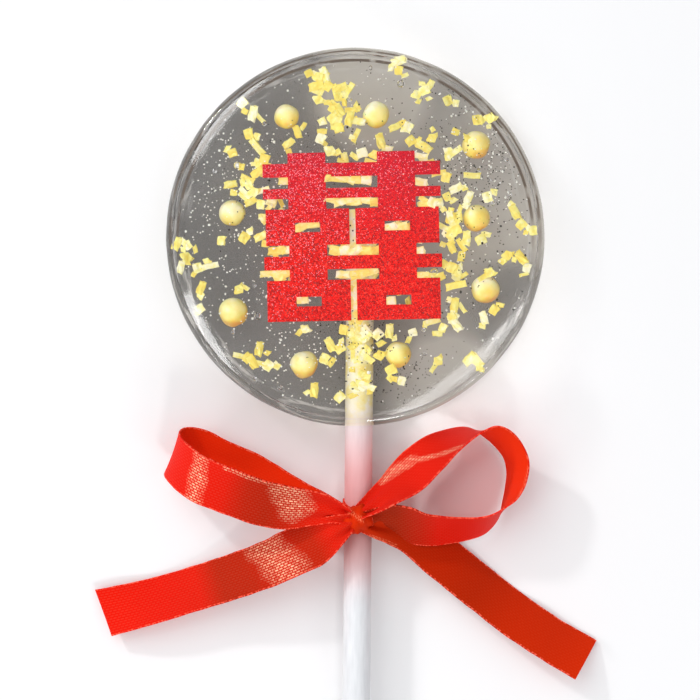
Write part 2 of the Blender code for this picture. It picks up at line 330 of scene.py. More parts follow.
def candy_disc():
    bpy.ops.mesh.primitive_cylinder_add(
        vertices=DISC_SIDES, radius=DISC_RADIUS, depth=DISC_TOP,
        location=(0, 0, DISC_TOP / 2), end_fill_type="NGON",
    )
    disc = settle(bpy.context.object, "clear_candy_disc")
    bpy.ops.object.mode_set(mode="EDIT")
    select_in_edit(
        disc, "EDGE", lambda edge: abs(edge.verts[0].co.z - edge.verts[1].co.z) < SAME_HEIGHT
    )
    bpy.ops.mesh.bevel(offset=RIM_ROUND, segments=8, affect="EDGES", profile=0.5)
    select_in_edit(disc, "FACE", lambda face: face.normal.z > 0.99 and len(face.verts) > 8)
    for step in RING_STEPS:
        bpy.ops.mesh.inset(thickness=step, depth=0.0)
    bpy.ops.object.mode_set(mode="OBJECT")
    flat_radius = DISC_RADIUS - RIM_ROUND
    for vertex in disc.data.vertices:
        reach = math.hypot(vertex.co.x, vertex.co.y)
        if vertex.co.z > DISC_TOP - HAIR and reach < flat_radius + HAIR:
            vertex.co.z -= CROWN_DROP * (reach / flat_radius) ** 4
        if reach > flat_radius + HAIR:
            wave = noise.noise(vertex.co / RIM_WAVE) * RIM_UNEVEN
            vertex.co.xy *= 1.0 - abs(wave) / DISC_RADIUS
            vertex.co.z -= wave * vertex.co.z / DISC_TOP
    return smooth(disc)


disc = candy_disc()
dress(disc, clear_candy())
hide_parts("candy_disc")
print("candy disc faces", len(disc.data.polygons))

# %% [markdown]
# ## The grey backdrop film
# The photograph was taken against a grey ground, and the clear candy still shows it,
# though the surround was cut away to white. A thin film just inside the disc's back stands
# for that ground. Painted light and shade lie on it: it is darker on the left and painted
# paler on the right, at the top and at the lower right. It is a filled circle whose rim is
# inset and lifted, and it lets part of the light through. Near its rim, noise stretched
# round the disc draws pale streaks, painted reflections of the rounded rim. A broken brown
# line follows the rim, and so does a darker edge of painted shade, as they do in the photograph.

# %% Model and paint the backdrop film
FILM_RADIUS = 29.1 * MM
FILM_HEIGHT = 0.4 * MM
FILM_RIM = 1.0 * MM
FILM_ALPHA = 0.55
CLOUD_SIZE = 14 * MM
PALER_RIGHT_SPAN = 30 * MM
RIGHT_PALER = 0.78
# Middle of each patch of painted light on the backdrop, and how much paler it is
PAINTED_LIGHT_PATCHES = (
    ((2 * MM, 23 * MM, 0), 0.55),
    ((14 * MM, -25 * MM, 0), 0.45),
    ((25 * MM, -11 * MM, 0), -0.35),
)
PATCH_CORE = 4 * MM
PATCH_REACH = 12 * MM
# Pale streaks near the rim, painted reflections of the rounded rim
RIM_REFLECTION_LENGTH = 5 * MM
RIM_REFLECTION_WIDTH = 0.8 * MM
RIM_REFLECTION_INNER = 26.4 * MM
RIM_REFLECTION_FADE = 1 * MM
RIM_REFLECTION_LOW = -12 * MM
LINE_RADIUS = 28.3 * MM
LINE_HALF_WIDTH = 0.22 * MM
LINE_BREAKS = 3 * MM
LINE_FADE = (-8 * MM, 6 * MM)
# A darker edge of painted shade round the rim, deepest on the left
DARK_EDGE = 28.8 * MM
DARK_EDGE_FADE = 0.2 * MM
DARK_LEFT = (8 * MM, -12 * MM)


def backdrop_light_and_shade(tree, place, across):
    """The grey of the backdrop, cloudy, and painted paler towards the right and in the patches as
    painted light.
    """
    cloud = output_of("Fac", tree, "TexNoise", Vector=place, Scale=1 / CLOUD_SIZE, Detail=2.0)
    paler = output_of(
        0, tree, "MapRange", Value=across, _1=-PALER_RIGHT_SPAN, _2=PALER_RIGHT_SPAN, _4=RIGHT_PALER
    )
    mixed = output_of(0, tree, "Math", TIMES_PLUS, _0=cloud, _1=0.5, _2=paler)
    # Each patch is painted light, or painted shade where its paleness is below zero
    for middle, paleness in PAINTED_LIGHT_PATCHES:
        gap = output_of("Value", tree, "VectorMath", APART, _0=place, _1=middle)
        patch = output_of(
            0, tree, "MapRange", EASED,
            Value=gap, _1=PATCH_CORE, _2=PATCH_REACH, _3=paleness, _4=0.0,
        )
        mixed = output_of(0, tree, "Math", _0=mixed, _1=patch)
    return ramp(tree, mixed, (0.25, "#34312E"), (0.62, "#7A7670"), (1.0, "#D8D3CA"))


def painted_rim_reflections(tree, parts, reach):
    """How much painted reflection of the rim lies at a place, from its x and y and its reach,
    strongest low down.
    """
    turn = output_of(0, tree, "Math", {"operation": "ARCTAN2"}, _0=parts["Y"], _1=parts["X"])
    round_rim = output_of("Vector", tree, "CombineXYZ", X=turn, Y=reach)
    stretched = output_of(
        "Vector", tree, "Mapping", Vector=round_rim,
        Scale=(DISC_RADIUS / RIM_REFLECTION_LENGTH, 1 / RIM_REFLECTION_WIDTH, 1.0),
    )
    reflection = output_of("Fac", tree, "TexNoise", Vector=stretched, Scale=1.0, Detail=3.0)
    reflection = output_of(0, tree, "MapRange", Value=reflection, _1=0.5, _2=0.64)
    outer = output_of(0, tree, "MapRange", Value=reach, _1=RIM_REFLECTION_INNER, _2=RIM_REFLECTION_INNER + RIM_REFLECTION_FADE)
    low_side = output_of(0, tree, "MapRange", Value=parts["Y"], _1=0.0, _2=RIM_REFLECTION_LOW, _3=0.6, _4=0.9)
    for share in (outer, low_side):
        reflection = output_of(0, tree, "Math", TIMES, _0=reflection, _1=share)
    return reflection


def rim_line(tree, place, parts, reach):
    """How much of the broken brown line lies at a place."""
    line = output_of(0, tree, "Math", WITHIN, _0=reach, _1=LINE_RADIUS, _2=LINE_HALF_WIDTH)
    breaks = output_of("Fac", tree, "TexNoise", Vector=place, Scale=1 / LINE_BREAKS, Detail=3.0)
    breaks = output_of(0, tree, "MapRange", Value=breaks, _1=0.3, _2=0.46)
    high_side = output_of(0, tree, "MapRange", Value=parts["Y"], _1=LINE_FADE[0], _2=LINE_FADE[1])
    for share in (breaks, high_side):
        line = output_of(0, tree, "Math", TIMES, _0=line, _1=share)
    return line


def backdrop_paint():
    material, tree, shader = new_material("backdrop_with_painted_light")
    place = output_of("Object", tree, "TexCoord")
    parts = add_node(tree, "SeparateXYZ", Vector=place).outputs
    reach = output_of("Value", tree, "VectorMath", {"operation": "LENGTH"}, _0=place)
    line = rim_line(tree, place, parts, reach)
    edge = output_of(0, tree, "MapRange", Value=reach, _1=DARK_EDGE, _2=DARK_EDGE + DARK_EDGE_FADE)
    left = output_of(
        0, tree, "MapRange",
        Value=parts["X"], _1=DARK_LEFT[0], _2=DARK_LEFT[1], _3=0.3, _4=0.5,
    )
    edge = output_of(0, tree, "Math", TIMES, _0=edge, _1=left)
    colour = backdrop_light_and_shade(tree, place, parts["X"])
    # Painted rim reflections, the brown line and the painted rim shade go over the backdrop
    for share, tint in (
        (painted_rim_reflections(tree, parts, reach), "#F2F1EE"), (line, "#82766C"), (edge, "#141210"),
    ):
        colour = output_of(2, tree, "Mix", BLEND, _0=share, _6=colour, _7=linear(tint))
    darkest = output_of(0, tree, "Math", {"operation": "MAXIMUM"}, _0=edge, _1=line)
    solid = output_of(0, tree, "MapRange", Value=darkest, _3=FILM_ALPHA, _4=1.0)
    plug(tree, shader, Base_Color=colour, Alpha=solid, Roughness=0.9, Specular_IOR_Level=0.0)
    return material


def make_backdrop_film():
    bpy.ops.mesh.primitive_circle_add(
        vertices=128, radius=FILM_RADIUS, fill_type="NGON",
        location=(0, 0, FILM_HEIGHT + FILM_RIM / 4),
    )
    film = settle(bpy.context.object, "backdrop_film")
    bpy.ops.object.mode_set(mode="EDIT")
    bpy.ops.mesh.select_all(action="SELECT")
    bpy.ops.mesh.inset(thickness=FILM_RIM, depth=0.0)
    bpy.ops.transform.translate(value=(0, 0, -FILM_RIM / 4))
    bpy.ops.object.mode_set(mode="OBJECT")
    return smooth(film, 60)


film = make_backdrop_film()
dress(film, backdrop_paint())

# %% [markdown]
# ## Paper stick
# Lollipop sticks are rolled from white paper and pressed. The surface is smooth but
# not glossy, with faint fibres along its length. It is a cylinder with rounded ends,
# turned along the imported stick, which leans by half a degree. Sugar stains it cream
# inside the candy. Above the knot, red light reflected from the satin is painted onto it
# as a pink tinge, and right below the knot the bow's shadow is painted as a rosy shade.

# %% Model and paint the stick
STICK_RADIUS = 2.2 * MM
STICK_END_ROUND = 0.3 * MM
STICK_HEIGHT = 4.0 * MM
FIBRE_SIZE = 0.5 * MM
FIBRE_STRETCH = 0.12
FIBRE_HEIGHT = 0.03 * MM
SUGAR_STAIN = 2.2 * MM
CREAM_EDGE = 3 * MM
RED_BOUNCE_MIDDLE = (3 * MM, -42 * MM, 5 * MM)
RED_BOUNCE_CORE = 3 * MM
RED_BOUNCE_REACH = 18 * MM
SHADE_START = -44 * MM
SHADE_FULL = -46 * MM
SHADE_END = -56 * MM
stick_low, stick_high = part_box("paper_stick")
STICK_TOP = Vector((stick_high.x - STICK_RADIUS, stick_high.y, STICK_HEIGHT))
STICK_FOOT = Vector((stick_low.x + STICK_RADIUS, stick_low.y, STICK_HEIGHT))
stick_way = STICK_FOOT - STICK_TOP


def stick_frame(distance):
    """The matrix whose +Z runs down the stick from a distance past its inner end."""
    turn = stick_way.to_track_quat("Z", "X").to_matrix().to_4x4()
    return Matrix.Translation(STICK_TOP + stick_way.normalized() * distance) @ turn


def paper():
    material, tree, shader = new_material("rolled_white_paper")
    place = output_of("Object", tree, "TexCoord")
    along = output_of("Vector", tree, "Mapping", Vector=place, Scale=(1.0, FIBRE_STRETCH, 1.0))
    fibre = output_of("Fac", tree, "TexNoise", Vector=along, Scale=1 / FIBRE_SIZE, Detail=4.0)
    colour = ramp(tree, fibre, (0.3, "#E0E2E4"), (0.7, "#ECEEF0"))
    sugar = output_of("Fac", tree, "TexNoise", Vector=place, Scale=1 / SUGAR_STAIN, Detail=3.0)
    cream = ramp(tree, sugar, (0.42, "#FFFBE6"), (0.56, "#FFF3A6"), (0.7, "#FFE97C"))
    up = output_of("Y", tree, "SeparateXYZ", Vector=place)
    sunk = output_of(
        0, tree, "MapRange",
        Value=up, _1=-DISC_RADIUS, _2=-DISC_RADIUS + CREAM_EDGE, _4=0.95,
    )
    # Painted red light reflected from the satin, strongest near the knot
    from_knot = output_of("Value", tree, "VectorMath", APART, _0=place, _1=RED_BOUNCE_MIDDLE)
    painted_red_bounce = output_of(
        0, tree, "MapRange", EASED,
        Value=from_knot, _1=RED_BOUNCE_CORE, _2=RED_BOUNCE_REACH, _3=0.75, _4=0.0,
    )
    # Painted shadow of the bow, just below the knot
    below = output_of(0, tree, "MapRange", Value=up, _1=SHADE_END, _2=SHADE_FULL, _4=0.9)
    above = output_of(0, tree, "MapRange", Value=up, _1=SHADE_START, _2=SHADE_FULL)
    shaded = output_of(0, tree, "Math", TIMES, _0=below, _1=above)
    for share, tint in ((sunk, cream), (painted_red_bounce, linear("#EE9290")), (shaded, linear("#C08884"))):
        colour = output_of(2, tree, "Mix", BLEND, _0=share, _6=colour, _7=tint)
    skin = output_of("Normal", tree, "Bump", Height=fibre, Strength=0.25, Distance=FIBRE_HEIGHT)
    plug(tree, shader, Base_Color=colour, Roughness=0.55, Normal=skin)
    return material


def paper_stick():
    bpy.ops.mesh.primitive_cylinder_add(vertices=72, radius=STICK_RADIUS, depth=stick_way.length)
    stick = bpy.context.object
    stick.matrix_world = stick_frame(stick_way.length / 2)
    settle(stick, "rolled_paper_stick")
    bevel = stick.modifiers.new("round_ends", "BEVEL")
    bevel.width = STICK_END_ROUND
    bevel.segments = 3
    bevel.limit_method = "ANGLE"
    return smooth(finish_modifiers(stick))


stick = paper_stick()
dress(stick, paper())
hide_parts("paper_stick")

# %% [markdown]
# ## Sugar pearls
# The pearls are sugar balls polished with pearl powder, soft in their gloss. Their colour
# is painted cream-white on top where light falls and deep yellow on their lower sides, as
# painted light and shade. Each starts as a sphere with the packed pearl's size and place,
# and a little noise makes it as uneven as panned sugar.

# %% Model and paint the pearls
PEARL_UNEVEN = 0.08
LUMP_SIZE = 1.8 * MM
STAIN_SIZE = 1.6 * MM
# How golden each pearl is on top of what all share, in their order round the disc
PEARL_GOLD = (0.15, 0.1, 0.2, 0.25, 0.15, 0.22, 0.15, 0.2, 0.05)
SHARED_GOLD = 0.28
LUMP_GOLD = 0.15
PAINTED_SIDE_SHADE = 0.36
PAINTED_SHADE_WAY = Vector((0.25, -0.75, -0.6)).normalized()


def pearl_sugar():
    material, tree, shader = new_material("panned_sugar_pearl")
    place = output_of("Object", tree, "TexCoord")
    patch = output_of("Fac", tree, "TexNoise", Vector=place, Scale=1 / STAIN_SIZE, Detail=3.0)
    gold_and_painted_shade = output_of("Fac", tree, "Attribute", {"attribute_name": "gold_and_painted_shade"})
    depth = output_of(0, tree, "Math", TIMES_PLUS, _0=patch, _1=0.5, _2=gold_and_painted_shade)
    creams = ((0.2, "#FFFBE2"), (0.42, "#FFF0A4"), (0.68, "#FFE06C"), (1.0, "#FFB04C"))
    plug(
        tree, shader, Base_Color=ramp(tree, depth, *creams), Roughness=0.3, Coat_Weight=0.4,
        Subsurface_Weight=0.5, Subsurface_Radius=(1.0, 0.55, 0.2), Subsurface_Scale=1.2 * MM,
    )
    return material


def sugar_pearl(node, seed):
    """A pearl on its packed place, with its gold at each vertex, painted deeper on its lower side
    as shade.
    """
    low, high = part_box(node)
    middle = (low + high) / 2
    radius = (high.z - low.z) / 2
    bpy.ops.mesh.primitive_uv_sphere_add(segments=48, ring_count=28, radius=radius, location=middle)
    pearl = settle(bpy.context.object, "sugar_" + node)
    gold_and_painted_shade = pearl.data.attributes.new("gold_and_painted_shade", "FLOAT", "POINT")
    for vertex in pearl.data.vertices:
        away = vertex.co - middle
        lump = noise.noise(away / LUMP_SIZE + Vector((seed * 7.3, 0, 0)))
        gold = SHARED_GOLD + PEARL_GOLD[seed] + LUMP_GOLD * lump
        # Painted light and shade: paler on top, deeper gold on the lower side
        gold_and_painted_shade.data[vertex.index].value = gold + PAINTED_SIDE_SHADE * away.normalized().dot(PAINTED_SHADE_WAY)
        vertex.co = middle + away * (1.0 - PEARL_UNEVEN * (0.5 + lump))
    return smooth(pearl, 180)


pearl_paint = pearl_sugar()
pearl_nodes = sorted(name for name in frame["nodes"] if name.startswith("pearl_"))
for seed, node in enumerate(pearl_nodes):
    pearl = sugar_pearl(node, seed)
    cast_in(pearl, pearl_paint)
    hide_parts(node)
print("pearls", len(pearl_nodes))

# %% [markdown]
# ## The wedding ornament
# The ornament is a thin wafer cut as the doubled character for joy and covered in red
# glitter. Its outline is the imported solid's, so a copy of that mesh is merged, its flat
# faces are joined up, and its edges get a hair's bevel that catches the light.

# %% Model the ornament
SAME_POINT = 0.005 * MM
CUT_EDGE = 0.07 * MM


def ornament_wafer():
    node = frame["nodes"]["wedding_ornament"]
    wafer = node.copy()
    wafer.data = node.data.copy()
    bpy.context.scene.collection.objects.link(wafer)
    wafer.hide_render = False
    wafer.hide_viewport = False
    wafer.parent = None
    settle(wafer, "glitter_wafer")
    bpy.ops.object.mode_set(mode="EDIT")
    bpy.ops.mesh.select_all(action="SELECT")
    bpy.ops.mesh.remove_doubles(threshold=SAME_POINT)
    bpy.ops.mesh.dissolve_limited(angle_limit=math.radians(1))
    bpy.ops.object.mode_set(mode="OBJECT")
    bevel = wafer.modifiers.new("cut_edge", "BEVEL")
    bevel.width = CUT_EDGE
    bevel.segments = 2
    bevel.limit_method = "ANGLE"
    return smooth(finish_modifiers(wafer), 30)


# %% [markdown]
# ## Red glitter
# Glitter is a bed of tiny foil flakes, each tilted its own way. The wafer's own material
# draws them as small cells of different reds with their own gloss, turning crimson towards
# the top as a painted reflection, and real flakes strewn on top give the sparkle that moves
# with the light. The pale pink flakes crowd towards the upper left as a painted reflection.

# %% Red glitter material and flakes
GLITTER_CELL = 0.2 * MM
# Name, colour, how many, radius, and how much they keep to the upper left, where pale flakes crowd
# as a painted reflection
FLAKE_KINDS = (
    ("deep_red", "#7C040A", 1300, 0.10 * MM, 0.0),
    ("bright_red", "#FF3A2A", 900, 0.10 * MM, 0.0),
    ("pale_pink_glint", "#FFA4B4", 1900, 0.08 * MM, 1.6),
)
FLAKE_THICKNESS = 0.02 * MM
FLAKE_TILT = 0.2
FLAKE_LIFT = (0.02 * MM, 0.06 * MM)
PAINTED_TOP_REFLECTION = "#C80E34"
TOP_REFLECTION_FROM = -2 * MM
TOP_REFLECTION_TO = 12 * MM


def red_glitter():
    material, tree, shader = new_material("red_foil_glitter")
    place = output_of("Object", tree, "TexCoord")
    cells = output_of("Color", tree, "TexVoronoi", Vector=place, Scale=1 / GLITTER_CELL)
    shade = add_node(tree, "SeparateColor", Color=cells).outputs
    reds = ramp(
        tree, shade["Red"], (0.0, "#8E0402"), (0.3, "#D60C06"), (0.8, "#EE1206"), (1.0, "#FF4636")
    )
    up = output_of("Y", tree, "SeparateXYZ", Vector=place)
    # Painted reflection: crimson towards the top
    top = output_of(0, tree, "MapRange", Value=up, _1=TOP_REFLECTION_FROM, _2=TOP_REFLECTION_TO, _4=0.6)
    colour = output_of(2, tree, "Mix", BLEND, _0=top, _6=reds, _7=linear(PAINTED_TOP_REFLECTION))
    gloss = output_of(0, tree, "MapRange", Value=shade["Green"], _3=0.3, _4=0.7)
    tilted = output_of(
        "Normal", tree, "Bump", Height=shade["Blue"], Strength=0.4, Distance=0.05 * MM
    )
    plug(
        tree, shader, Base_Color=colour, Roughness=gloss, Normal=tilted,
        Specular_Tint=linear("#FF2C1C"),
    )
    return material


def foil_flakes(wafer, name, count, radius, reflection_crowding):
    """Small hexagons of foil on the wafer, perhaps crowded towards its upper left as a painted
    reflection.
    """
    bpy.ops.mesh.primitive_cylinder_add(vertices=6, radius=radius, depth=FLAKE_THICKNESS)
    pattern = bpy.context.object
    draw = random.Random(count)
    low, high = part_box("wedding_ornament")
    places = []
    while len(places) < count:
        across = draw.random()
        up = draw.random()
        if draw.random() < reflection_crowding * (across - up + 1) / 2:
            continue
        start = Vector((
            low.x + (high.x - low.x) * across, low.y + (high.y - low.y) * up, DISC_TOP
        ))
        hit, point, normal, _ = wafer.ray_cast(start, Vector((0, 0, -1)))
        if not hit or normal.z < 0.9:
            continue
        tilt = Matrix.Rotation(draw.gauss(0, FLAKE_TILT), 4, "X")
        tilt = tilt @ Matrix.Rotation(draw.gauss(0, FLAKE_TILT), 4, "Y")
        size = Matrix.Scale(draw.uniform(0.5, 1.1), 4)
        lift = Vector((0, 0, draw.uniform(*FLAKE_LIFT)))
        places.append(Matrix.Translation(point + lift) @ tilt @ size)
    flakes = strewn("foil_flakes_" + name, pattern, places)
    bpy.data.objects.remove(pattern)
    return flakes


wafer = ornament_wafer()
cast_in(wafer, red_glitter())
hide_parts("wedding_ornament")
for name, colour, count, radius, reflection_crowding in FLAKE_KINDS:
    flakes = foil_flakes(wafer, name, count, radius, reflection_crowding)
    cast_in(flakes, plain(name + "_foil", colour, 0.35))
print("foil flakes", sum(kind[2] for kind in FLAKE_KINDS))

# %% [markdown]
# ## Crystal flakes
# The pale yellow pieces are chips of coloured sugar, cut roughly and strewn into the
# candy. A few chips are cut from cubes by moving corners and breaking edges, and each
# is copied where the photograph shows one. The rest follow, drawn by a seeded rule.

# %% Cut the sugar chips
CHIP_SHAKE = 0.21 * MM
CHIP_CLOUD = 0.9 * MM
CHIP_GRAIN = 0.3 * MM


def chip(name, size, slant, cut, seed):
    """A sugar chip: a block with slanted ends, one corner cut away and shaken corners."""
    bpy.ops.mesh.primitive_cube_add(size=1.0, scale=size)
    block = settle(bpy.context.object, name)
    bpy.ops.object.mode_set(mode="EDIT")
    select_in_edit(block, "VERT", lambda vertex: vertex.co.x > 0)
    bpy.ops.transform.translate(value=(0, slant * size[1], 0))
    select_in_edit(block, "VERT", lambda vertex: vertex.co.x > 0 and vertex.co.y > 0)
    bpy.ops.transform.translate(value=(-cut * size[0], 0, 0))
    bpy.ops.mesh.select_all(action="SELECT")
    bpy.ops.mesh.subdivide(number_cuts=2)
    bpy.ops.transform.vertex_random(offset=CHIP_SHAKE, seed=seed)
    bpy.ops.object.mode_set(mode="OBJECT")
    return smooth(block, 35)


# Name, size in millimetres, slant and cut of each kind of chip
CHIP_KINDS = (
    ("square_chip", (1.5, 1.3, 0.4), 0.12, 0.1),
    ("long_chip", (2.3, 1.1, 0.4), 0.25, 0.12),
    ("wedge_chip", (1.7, 1.4, 0.4), -0.2, 0.3),
    ("sliver_chip", (3.1, 0.95, 0.4), 0.4, 0.08),
    ("blunt_chip", (1.4, 1.4, 0.45), 0.05, 0.2),
    ("bent_chip", (2.0, 1.2, 0.4), -0.35, 0.15),
)
CHIPS = [
    chip(name, [side * MM for side in size], slant, cut, seed)
    for seed, (name, size, slant, cut) in enumerate(CHIP_KINDS, start=1)
]
SQUARE, LONG, WEDGE, SLIVER = range(4)
# Most chips have a smaller one beside them, and none of those reaches the rim
COMPANION_SHARE = 0.9
COMPANION_GAP = 1.25
COMPANION_SINK = 0.3 * MM
COMPANION_REACH = 27.4 * MM

# %% [markdown]
# Chips that stand out in the photograph are placed one by one: middle x and y in
# millimetres from the disc's middle, the turn in degrees, and the kind of chip.

# %% Place the chips that stand out
PLACED_CHIPS = (
    (-17.8, 21.1, 40, SQUARE), (-16.1, 19.5, 70, LONG), (-7.3, 25.8, 20, SQUARE),
    (-5.9, 25.5, 60, WEDGE), (-4.8, 25.7, 100, LONG), (-6.1, 23.8, 10, LONG),
    (-4.3, 23.8, 50, SQUARE), (-2.3, 23.5, 15, LONG), (-2.6, 22.2, 80, SQUARE),
    (-5.8, 21.9, 30, WEDGE), (-2.4, 20.1, 120, LONG), (-3.5, 18.7, 30, SQUARE),
    (-0.8, 18.7, 70, LONG), (-2.6, 17.1, 10, SQUARE), (-9.1, 16.6, 100, LONG),
    (-10.5, 14.7, 30, LONG), (-5.4, 15.5, 60, SQUARE), (-3.9, 13.8, 20, WEDGE),
    (-16.8, 16.3, 100, SQUARE), (-15.4, 14.4, 120, SLIVER), (-14.3, 12.2, 70, SQUARE),
    (-15.4, 10.1, 30, LONG), (-16.8, 8.2, 110, SQUARE), (-16.1, 7.3, 60, WEDGE),
    (-16.5, 5.5, 20, LONG), (-14.9, 5.1, 75, SQUARE), (-19.4, 13.2, 15, SQUARE),
    (-19.7, 8.2, 0, LONG), (-21.1, -0.6, 80, SQUARE), (-17.5, -0.2, 50, SQUARE),
    (-14.9, 0.0, 20, LONG), (6.9, 27.7, 10, LONG), (6.9, 26.3, 80, SQUARE),
    (9.6, 22.7, 70, WEDGE), (11.0, 23.1, 20, SQUARE), (11.8, 23.9, 50, LONG),
    (14.7, 21.6, 110, SQUARE), (6.3, 17.3, 20, LONG), (8.4, 17.3, 60, SQUARE),
    (4.1, 15.2, 100, LONG), (8.8, 15.1, 30, SQUARE), (11.0, 14.3, 140, LONG),
    (12.0, 15.8, 80, WEDGE), (1.1, 13.2, 10, SQUARE), (3.0, 13.2, 60, WEDGE),
    (19.4, 18.5, 90, SQUARE), (21.3, 19.0, 40, WEDGE), (15.8, 13.2, 30, SLIVER),
    (14.4, 9.4, 70, SQUARE), (16.0, 7.6, 20, LONG), (18.0, 6.2, 60, LONG),
    (21.0, 6.3, 100, SQUARE), (12.3, 5.4, 60, SQUARE), (15.3, 2.9, 100, SLIVER),
    (16.0, 1.0, 20, SQUARE), (25.3, 4.0, 110, LONG), (26.3, 1.9, 40, SQUARE),
    (6.8, 1.7, 30, SQUARE), (-28.1, -1.1, 60, LONG), (-26.5, -1.3, 120, SQUARE),
    (-26.7, -3.0, 30, WEDGE), (-27.5, -4.8, 70, LONG), (-24.9, -4.9, 100, SQUARE),
    (-22.9, -4.8, 5, SLIVER), (-24.3, -8.1, 60, LONG), (-24.5, -11.3, 120, SQUARE),
    (-18.6, -8.2, 100, WEDGE), (-15.1, -17.7, 70, LONG), (-17.0, -19.2, 40, SQUARE),
    (-16.2, -19.7, 110, LONG), (-13.7, -20.4, 50, SQUARE), (-7.8, -14.4, 20, WEDGE),
    (-1.8, -14.7, 70, SQUARE), (-3.9, -17.0, 110, LONG), (-2.4, -17.7, 30, SQUARE),
    (-4.8, -19.3, 60, SQUARE), (-6.4, -24.2, 80, LONG), (-2.4, -25.4, 40, SQUARE),
    (-11.6, -2.1, 60, SQUARE), (-12.1, -6.2, 20, WEDGE), (1.9, -14.9, 120, LONG),
    (3.6, -15.5, 40, SQUARE), (5.5, -14.9, 80, LONG), (9.1, -15.2, 10, SQUARE),
    (3.8, -18.5, 60, WEDGE), (5.7, -21.1, 20, SQUARE), (7.4, -22.8, 70, SQUARE),
    (12.9, -19.5, 100, WEDGE), (18.2, -19.3, 40, LONG), (19.8, -20.6, 80, SQUARE),
    (12.2, -13.6, 10, SLIVER), (13.9, -14.4, 60, SQUARE), (16.0, -13.8, 120, LONG),
    (15.3, -12.7, 30, SQUARE), (15.8, -10.8, 75, LONG), (16.0, -7.9, 5, SLIVER),
    (15.3, -4.9, 60, SQUARE), (15.3, -1.6, 110, LONG), (15.2, 0.3, 40, SQUARE),
    (17.7, -0.2, 80, LONG), (19.9, -0.5, 20, SQUARE), (24.0, -2.7, 60, WEDGE),
    (26.3, -3.2, 120, LONG), (27.2, -4.9, 70, SQUARE), (21.3, -5.4, 30, WEDGE),
    (22.0, -11.6, 50, SQUARE), (20.4, -12.8, 100, LONG), (28.2, 1.0, 90, SQUARE),
)
CHIP_DEPTH = (0.6 * MM, 1.2 * MM)
PLACED_SIZE = (0.85, 1.1)
COMPANION_SIZE = (0.5, 0.8)

# %% [markdown]
# More chips lie behind the ornament and in its gaps, where they show yellow, and over
# the stick. Those are drawn inside named fields: middle x and y, half width and half
# height in millimetres, lowest and highest z, and how many.

# %% Fill in the chips behind the ornament and over the stick
CHIP_FIELDS = (
    (0.0, 0.5, 12.5, 12.0, 5.6, 6.4, 60),
    (0.7, -17.5, 1.5, 7.6, 6.5, 6.9, 40),
    (15.5, -4.0, 1.8, 11.0, 5.8, 7.0, 22),
    (-3.0, 18.0, 4.0, 6.0, 6.0, 6.9, 14),
    (12.0, 13.5, 7.0, 4.0, 6.0, 6.9, 12),
    (-16.0, 9.0, 2.5, 7.0, 6.0, 6.9, 10),
)
# Gaps of the ornament: from x to x and middle y in millimetres, each filled with chips
ORNAMENT_GAPS = (
    (-4.0, 2.6, 8.9), (-4.2, 3.9, 5.5), (-4.0, 3.9, -2.2), (-2.6, 2.9, -6.0),
    (-11.6, -10.2, 8.9), (-14.2, -12.3, 5.5), (-13.2, -10.6, -2.2), (-14.2, -10.4, -6.0),
    (9.6, 11.0, 8.6), (10.4, 14.0, 5.1), (9.4, 10.2, -2.4), (9.4, 13.8, -6.3),
    (-9.2, -6.6, 1.6), (4.8, 8.6, 1.4), (-9.1, -8.0, -10.2), (4.6, 6.6, -10.4),
)
GAP_CHIP_STEP = 1.5
CHIP_TILT = 0.15
FIELD_CHIP_SIZE = (0.55, 0.95)
GAP_CHIP_SIZE = (0.95, 1.15)
GAP_CHIP_HEIGHT = 7.1 * MM
GAP_CHIP_DRIFT = 0.15
GAP_CHIP_TURN = 14


def chip_place(draw, x, y, z, turn, size):
    """The matrix that lays a chip down at a place with a small tilt."""
    return (
        Matrix.Translation((x, y, z))
        @ Matrix.Rotation(math.radians(turn), 4, "Z")
        @ Matrix.Rotation(draw.gauss(0, CHIP_TILT), 4, "X")
        @ Matrix.Rotation(draw.gauss(0, CHIP_TILT), 4, "Y")
        @ Matrix.Scale(size, 4)
    )


